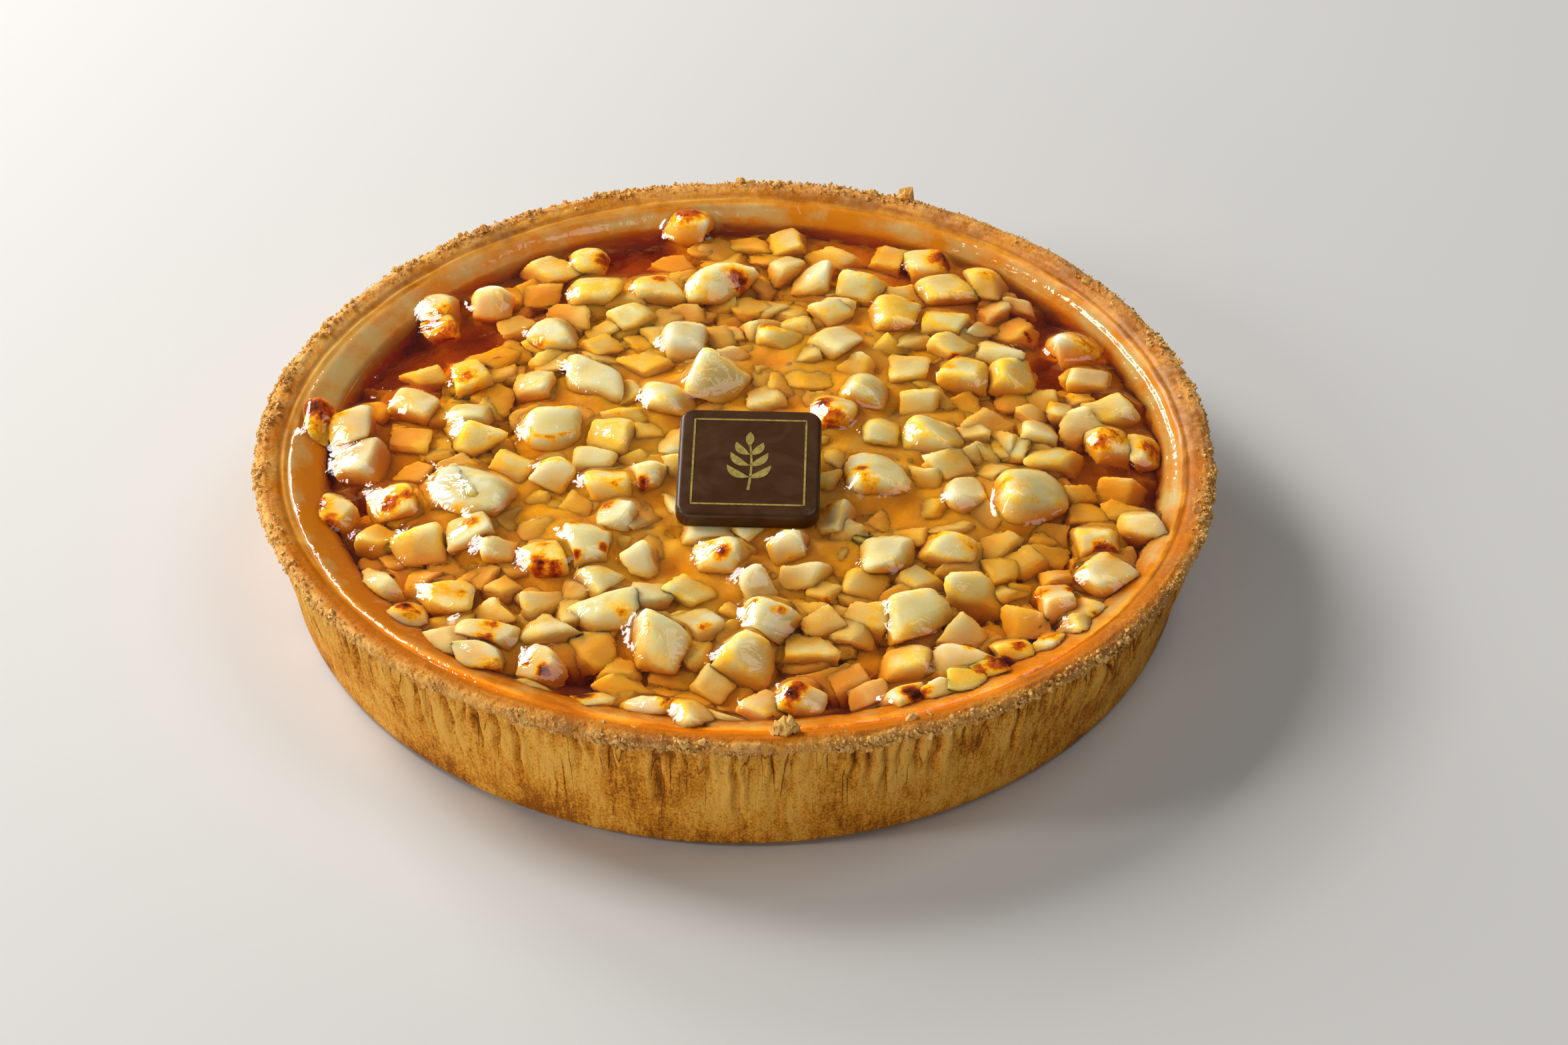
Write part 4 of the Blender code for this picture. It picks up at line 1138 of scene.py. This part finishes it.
def makeJelly(skin):
    # The skin map on a disc grid, a film with soft ridges up the slope, then down along the shell just inside
    # the pastry to a flat floor
    gx, gy = discGrid(jelly["gridCells"])
    angle = np.arctan2(gy, gx)
    x, y, slope = wellPlace(np.hypot(gx, gy), angle)
    z = readMap(skin, x, y)
    rimZ = ledge(angle)[1]
    bank = apple["jellyEdge"] + banked(slope, angle) * (rimZ - apple["jellyEdge"]) + jelly["slopeFilm"]
    z = np.where(slope > 0, np.maximum(z, bank), z)
    place = inPlan(x, y)
    wave = np.sin(2 * math.pi * (1.9 * slope + 0.45 * valueNoise(place, 0.016, 75)))
    wave = wave * (0.55 + 0.6 * valueNoise(place, 0.010, 76)) * smoothStep(0.05, 0.25, slope)
    z = z + jelly["slopeRidge"] * wave * smoothStep(0.7, -0.2, -np.sin(angle))
    z = z + smoothStep(0.80, 1.0, slope) * (rimZ - 0.0002 - z)
    top = np.stack([x, y, z], -1).reshape(-1, 3)
    ring = top[discBorder(jelly["gridCells"])]
    around = np.arctan2(ring[:, 1], ring[:, 0])
    rimRadius, rimHeight = ledge(around)
    foot = apple["floor"] - jelly["floorOverlap"]
    rings = []
    for radius, height, well in (
        (rimRadius + 0.0002, rimHeight - 0.0009, 0.0),
        (apple["wellRadiusJelly"] + jelly["wallOverlap"], apple["jellyEdge"] - 0.0006, 1.0),
        (apple["wellRadiusFloor"] + jelly["wallOverlap"], foot, 1.0),
    ):
        px = radius * np.cos(around) + well * shell["wellOffset"]
        rings.append(np.stack([px, radius * np.sin(around), height + 0 * around], -1))
    points, quads, fan = discBody(top, jelly["gridCells"], rings, (shell["wellOffset"], 0, foot))
    piece = makePiece("jelly", points, jellyFinish, quads, fan)
    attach(piece, "root")
    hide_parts("apple_filling")


jellySkin, jellyFill = surfaceMap()
makeJelly(jellySkin)
makeDice("appleDice", shownShape, jellySkin, seed=31, toneRange=(-0.1, 0.7), chance=0.16)
makeDice("betweenDice", betweenShape, jellySkin, seed=32, toneRange=(-0.1, 0.7), chance=0.10)
for layerName, layerShape in sunkShapes.items():
    makeDice(layerName, layerShape, jellySkin, seed=57, toneRange=(0.0, 0.5), chance=0.0)

pulp = {
    "depth": 0.0043,
    "edgeDepth": 0.0105,
    "gapDepth": 0.0165,
    "lumps": ((0.0013, 0.007, 82), (0.0005, 0.003, 83)),
    "cells": 150,
    "radius": 0.1042,
    "bottom": 0.0060,
    "tone": 0.7,
    "soak": 0.80,
    "char": 0.15,
}


def makePulp():
    # Cooked-down apple inside the jelly: a lumpy sheet some way under its level, deeper by the wall and in
    # the gaps, closed below
    gx, gy = discGrid(pulp["cells"])
    x = shell["wellOffset"] + gx * pulp["radius"]
    y = gy * pulp["radius"]
    place = inPlan(x, y)
    byWall = smoothStep(0.45, 0.95, np.hypot(gx, gy) + 0.15 * valueNoise(place, 0.03, 81))
    depth = pulp["depth"] + (pulp["edgeDepth"] - pulp["depth"]) * byWall
    for gapX, gapY, radius in bareGaps:
        near = smoothStep(1.9, 0.9, np.hypot(x - gapX * mm, y - gapY * mm) / (radius * mm))
        depth = np.maximum(depth, pulp["gapDepth"] * near)
    depth = depth + noiseSum(place, pulp["lumps"])
    top = np.stack([x, y, readMap(jellyFill, x, y) - depth], -1).reshape(-1, 3)
    low = top[discBorder(pulp["cells"])] * (1, 1, 0) + (0, 0, pulp["bottom"])
    points, quads, fan = discBody(top, pulp["cells"], [low], (shell["wellOffset"], 0, pulp["bottom"]))
    soak = pulp["soak"] + 0.20 * valueNoise(points, 0.008, 84)
    char = pulp["char"] + 0.05 * valueNoise(points, 0.006, 85)
    fields = {"tone": np.full(len(points), pulp["tone"]), "char": char, "soak": soak}
    piece = makePiece("applePulp", points, appleFinish, quads, fan, fields)
    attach(piece, "root")
    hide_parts("apple_filling")


makePulp()


# Loose crumbs on the lip

crumbs = {
    "rimCrumbs": {"cells": 1, "count": 9500, "size": (0.00018, 0.00050), "rows": (41, 64), "seed": 3},
    "rimBits": {"cells": 2, "count": 700, "size": (0.00030, 0.00085), "rows": (43, 66), "seed": 4},
}
# Where they lie across the rows, as a mean and a spread, how far they drift, then how each is broken
broken = {
    "middle": 0.42,
    "spread": 0.24,
    "drift": 9,
    "out": 0.3,
    "shift": 0.0004,
    "dent": (0.62, 1.28),
    "stretch": (0.7, 1.3),
    "syruped": 0.12,
}
# Crumbs that stand out: x, y, z of the middle and half size, in mm
bigCrumbs = (
    (12.6, -113.4, 36.5, 2.0), (13.8, -113, 37.7, 1.3), (11.4, -113.6, 37, 1.3), (14.9, -113.2, 36.2, 1.3),
    (12.8, -114.4, 35.6, 1.3), (10.4, -114, 35.4, 1.1), (45, 111.2, 36.4, 1.8), (22.5, -114, 34.6, 0.9),
    (-28.6, -111.6, 34.9, 1.3), (26, -113.4, 34.7, 0.8), (41.5, -108.4, 34.9, 1.2), (45.5, -106.6, 34.8, 0.9),
    (-22, -112.8, 34.4, 1.0), (-29.5, -111.2, 34.6, 0.8), (92, 71, 35, 1.0), (-70, 94, 35, 1.1),
)


def makeCrumbs(name, facts, large):
    # Small broken lumps: a coarse cube skin, each stretched and dented at random, pressed into the lip;
    # they lie in drifts, which a noise makes by moving them sideways and by their size
    draw = np.random.RandomState(facts["seed"])
    skin, quads = cubeSkin(facts["cells"])
    first, last = facts["rows"]
    place = np.clip(draw.normal(broken["middle"], broken["spread"], facts["count"]), 0, 1)
    columns = draw.randint(0, shell["columns"], facts["count"])
    front = smoothStep(0.1, 0.8, -np.sin(columns * 2 * math.pi / shell["columns"]))
    rows = (first + place * (last - first) * (1.0 - 0.35 * front)).astype(int)
    drift = broken["drift"] * valueNoise(inPlan(columns, rows), 7.0, 5)
    columns = (columns + drift).astype(int) % shell["columns"]
    least, most = facts["size"]
    sizes = least + draw.uniform(0, 1, facts["count"]) ** 1.8 * (most - least)
    lip = shellGrid[rows, columns]
    sizes = sizes * (0.35 + 0.80 * smoothStep(-0.45, 0.35, valueNoise(lip, 0.009, 12)))
    centres = lip + shellNormal[rows, columns] * sizes[:, None] * broken["out"]
    centres = centres + draw.uniform(-broken["shift"], broken["shift"], centres.shape)
    large = np.array(large).reshape(-1, 4) * mm
    centres = np.concatenate([centres, large[:, :3]])
    sizes = np.concatenate([sizes, large[:, 3]])
    count = len(sizes)
    unit = skin / (np.abs(skin) ** 3).sum(-1, keepdims=True) ** (1 / 3)
    dent = draw.uniform(*broken["dent"], (count, len(skin), 1))
    stretch = draw.uniform(*broken["stretch"], (count, 1, 3))
    points = unit[None] * dent * stretch * sizes[:, None, None]
    turns = [np.array(Euler(draw.uniform(0, 6.28, 3)).to_matrix()) for _ in range(count)]
    points = np.einsum("dij,dpj->dpi", np.array(turns), points) + centres[:, None, :]
    none = np.zeros(count)
    fields = {
        "bake": draw.uniform(-0.15, 0.40, count),
        "syrup": (draw.random_sample(count) < broken["syruped"]) * 0.5,
        "flour": draw.uniform(0.5, 1.3, count),
        "glaze": none,
        "wet": none,
    }
    fields = {key: np.repeat(values, len(skin)) for key, values in fields.items()}
    faces = repeatFaces(quads, count, len(skin))
    piece = makePiece(name, points.reshape(-1, 3), pastryFinish, faces, fields=fields)
    piece.data.shade_flat()
    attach(piece, "root")


makeCrumbs("rimCrumbs", crumbs["rimCrumbs"], [])
makeCrumbs("rimBits", crumbs["rimBits"], bigCrumbs)


# Chocolate plaque

def plaqueOutline(inset, steps):
    # Rounded square, inset from the plaque's side: quarter circles joined by straight runs
    half = plaque["side"] / 2 - inset
    radius = plaque["corner"] - inset
    quarter = np.repeat(np.arange(4), steps + 1)
    angle = (quarter + np.tile(np.arange(steps + 1) / steps, 4)) * math.pi / 2
    cx = (half - radius) * np.where((quarter == 0) | (quarter == 3), 1, -1)
    cy = (half - radius) * np.where(quarter < 2, 1, -1)
    return cx + radius * np.cos(angle), cy + radius * np.sin(angle)


def makePlaque():
    # Rings of the outline carried round a quarter-circle edge, up the side and over; both faces closed
    half = plaque["thickness"] / 2
    edge = plaque["edge"]
    turns = np.linspace(0, math.pi / 2, 6)
    bend = [(edge * (1 - math.sin(t)), half - edge * (1 - math.cos(t))) for t in turns]
    levels = [(0.009, -half)] + [(inset, -z) for inset, z in bend] + bend[::-1]
    levels += [(0.004, half), (0.009, half), (0.014, half)]
    rings = []
    for inset, z in levels:
        rounded = min(inset, plaque["corner"] - 0.0004)
        x, y = plaqueOutline(rounded, 10)
        shrink = (plaque["side"] / 2 - inset) / (plaque["side"] / 2 - rounded)
        rings.append(np.stack([x * shrink, y * shrink, np.full(len(x), z)], -1))
    grid = np.array(rings)
    grid[..., 2] += plaque["unevenness"] * valueNoise(grid, 0.006, 90)
    points = np.concatenate([[(0, 0, -half)], grid.reshape(-1, 3), [(0, 0, half)]])
    points = applyMatrix(plaqueFrame(), points)
    piece = makePiece("chocolatePlaque", points, chocolateFinish, *poleFaces(len(levels), grid.shape[1]))
    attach(piece, "root")
    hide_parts("chocolate_plaque")


makePlaque()

goldMark = {
    "frameSide": 0.0277,
    "line": 0.00024,
    "sink": 0.00008,
    "raise": 0.00010,
    "leafWidth": 0.0021,
}
# Leaves, the lower ones in pairs: where each leaves the stem, its length, its lift in degrees, its sides
leaves = (
    (-0.0050, 0.0066, 35, (-1, 1)), (-0.0012, 0.0062, 42, (-1, 1)), (0.0024, 0.0052, 50, (-1, 1)),
    (0.0052, 0.0046, 90, (0,)),
)


def ribbon(path, halfWidths, closed):
    # A flat four-sided bar carried along a path in the plaque's plane, as wide as halfWidths at each step
    along = np.roll(path, -1, 0) - np.roll(path, 1, 0) if closed else np.gradient(path, axis=0)
    along = along / np.linalg.norm(along, axis=1, keepdims=True)
    across = np.stack([-along[:, 1], along[:, 0]], -1) * np.asarray(halfWidths)[:, None]
    half = plaque["thickness"] / 2
    low, high = half - goldMark["sink"], half + goldMark["raise"]
    sides = [(path - across, low), (path + across, low), (path + across, high), (path - across, high)]
    grid = np.stack([np.concatenate([p, np.full((len(p), 1), z)], 1) for p, z in sides], 1)
    steps = len(path)
    quads = gridFaces(steps + (1 if closed else 0), 4, True) % (steps * 4)
    if not closed:
        quads = np.concatenate([quads, [[0, 1, 2, 3]], [np.arange(steps * 4 - 1, steps * 4 - 5, -1)]])
    return grid.reshape(-1, 3), quads


def makeGoldMark():
    # A square line and a sprig: a stem with pairs of pointed leaves, each as wide as a sine along its middle
    t = np.linspace(0, 1, 15)
    half = goldMark["frameSide"] / 2
    corners = np.array([(-half, -half), (half, -half), (half, half), (-half, half)])
    runs = zip(corners, np.roll(corners, -1, 0))
    straight = np.array([a + (b - a) * s for a, b in runs for s in np.linspace(0, 0.96, 8)])
    parts = [ribbon(straight, np.full(len(straight), goldMark["line"]), True)]
    stem = np.stack([0.0006 * np.sin(3 * t), -0.0092 + 0.0150 * t], -1)
    parts.append(ribbon(stem, 0.00034 - 0.00012 * t, False))
    width = goldMark["leafWidth"] / 2 * np.sin(math.pi * np.clip(t, 0.01, 0.99)) ** 0.8
    for start, length, lift, side in [(*leaf[:3], side) for leaf in leaves for side in leaf[3]]:
        slope = math.radians(lift)
        bow = 0.14 * length * np.sin(math.pi * t) * abs(side)
        x = side * (length * t * math.cos(slope) + bow * math.sin(slope))
        y = start + length * t * math.sin(slope) - bow * math.cos(slope)
        parts.append(ribbon(np.stack([x, y], -1), width, False))
    points = np.concatenate([p for p, _ in parts])
    shift = np.cumsum([0] + [len(p) for p, _ in parts[:-1]])
    quads = np.concatenate([q + s for (_, q), s in zip(parts, shift)])
    piece = makePiece("goldSprig", applyMatrix(plaqueFrame(), points), goldFinish, quads)
    piece.data.shade_flat()
    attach(piece, "root")


makeGoldMark()


# Floor, lamps and camera

def makeFloor():
    # A wide flat sheet just under the base
    reach, level = 3.0, -0.0003
    points = np.array([(x * reach, y * reach, level) for x, y in ((-1, -1), (1, -1), (1, 1), (-1, 1))])
    makePiece("floor", points, paleFloor(), np.array([[0, 1, 2, 3]]))


makeFloor()

white, soft, warm = (1.0, 0.995, 0.985), (1.0, 0.98, 0.95), (1.0, 0.97, 0.93)
lamps = {
    "window": {"place": (-1.05, 0.62, 1.05), "size": (0.50, 0.70), "power": 19.2, "tint": white},
    "windowLow": {"place": (-0.92, 1.16, 0.66), "size": (0.46, 0.58), "power": 14.0, "tint": white},
    "windowLeft": {"place": (-1.25, -0.38, 0.70), "size": (0.18, 0.40), "power": 6.0, "tint": soft},
    "frontLow": {"place": (-0.75, -1.55, 0.34), "size": (1.20, 0.34), "power": 8.5, "tint": warm},
    "above": {"place": (0.70, 0.10, 1.50), "size": (0.8, 0.8), "power": 5.5, "tint": white},
}
room = {"colour": (1.0, 0.985, 0.96, 1.0), "strength": 0.08}


def makeLamps():
    # Soft boxes that face the tart
    for name, facts in lamps.items():
        light = bpy.data.lights.new(name, "AREA")
        light.shape = "RECTANGLE"
        light.size, light.size_y = facts["size"]
        light.energy = facts["power"]
        light.color = facts["tint"]
        lamp = bpy.data.objects.new(name, light)
        lamp.location = facts["place"]
        lamp.rotation_euler = (-Vector(facts["place"])).to_track_quat("-Z", "Y").to_euler()
        bpy.context.scene.collection.objects.link(lamp)
    world = bpy.data.worlds.new("studio")
    world.use_nodes = True
    world.node_tree.nodes["Background"].inputs["Color"].default_value = room["colour"]
    world.node_tree.nodes["Background"].inputs["Strength"].default_value = room["strength"]
    bpy.context.scene.world = world
    bpy.context.scene.view_settings.view_transform = "Standard"


makeLamps()

view = {
    "target": (0.0120, 0.0099, 0.0),
    "distance": 0.9497,
    "elevation": 37.63,
    "roll": 0.43,
    "lens": 84.18,
    "sensor": 36.0,
}


def makeCamera():
    # Looks along +Y at the target from the photograph's height, with its small roll
    data = bpy.data.cameras.new("camera")
    data.lens = view["lens"]
    data.sensor_width = view["sensor"]
    data.sensor_fit = "HORIZONTAL"
    camera = bpy.data.objects.new("camera", data)
    rise = math.radians(view["elevation"])
    back = Vector((0.0, -math.cos(rise), math.sin(rise)))
    place = Matrix.Translation(Vector(view["target"]) + back * view["distance"])
    turn = Matrix.Rotation(math.pi / 2 - rise, 4, "X") @ Matrix.Rotation(math.radians(view["roll"]), 4, "Z")
    camera.matrix_world = place @ turn
    bpy.context.scene.collection.objects.link(camera)
    bpy.context.scene.camera = camera


makeCamera()
print("lamps and camera set")
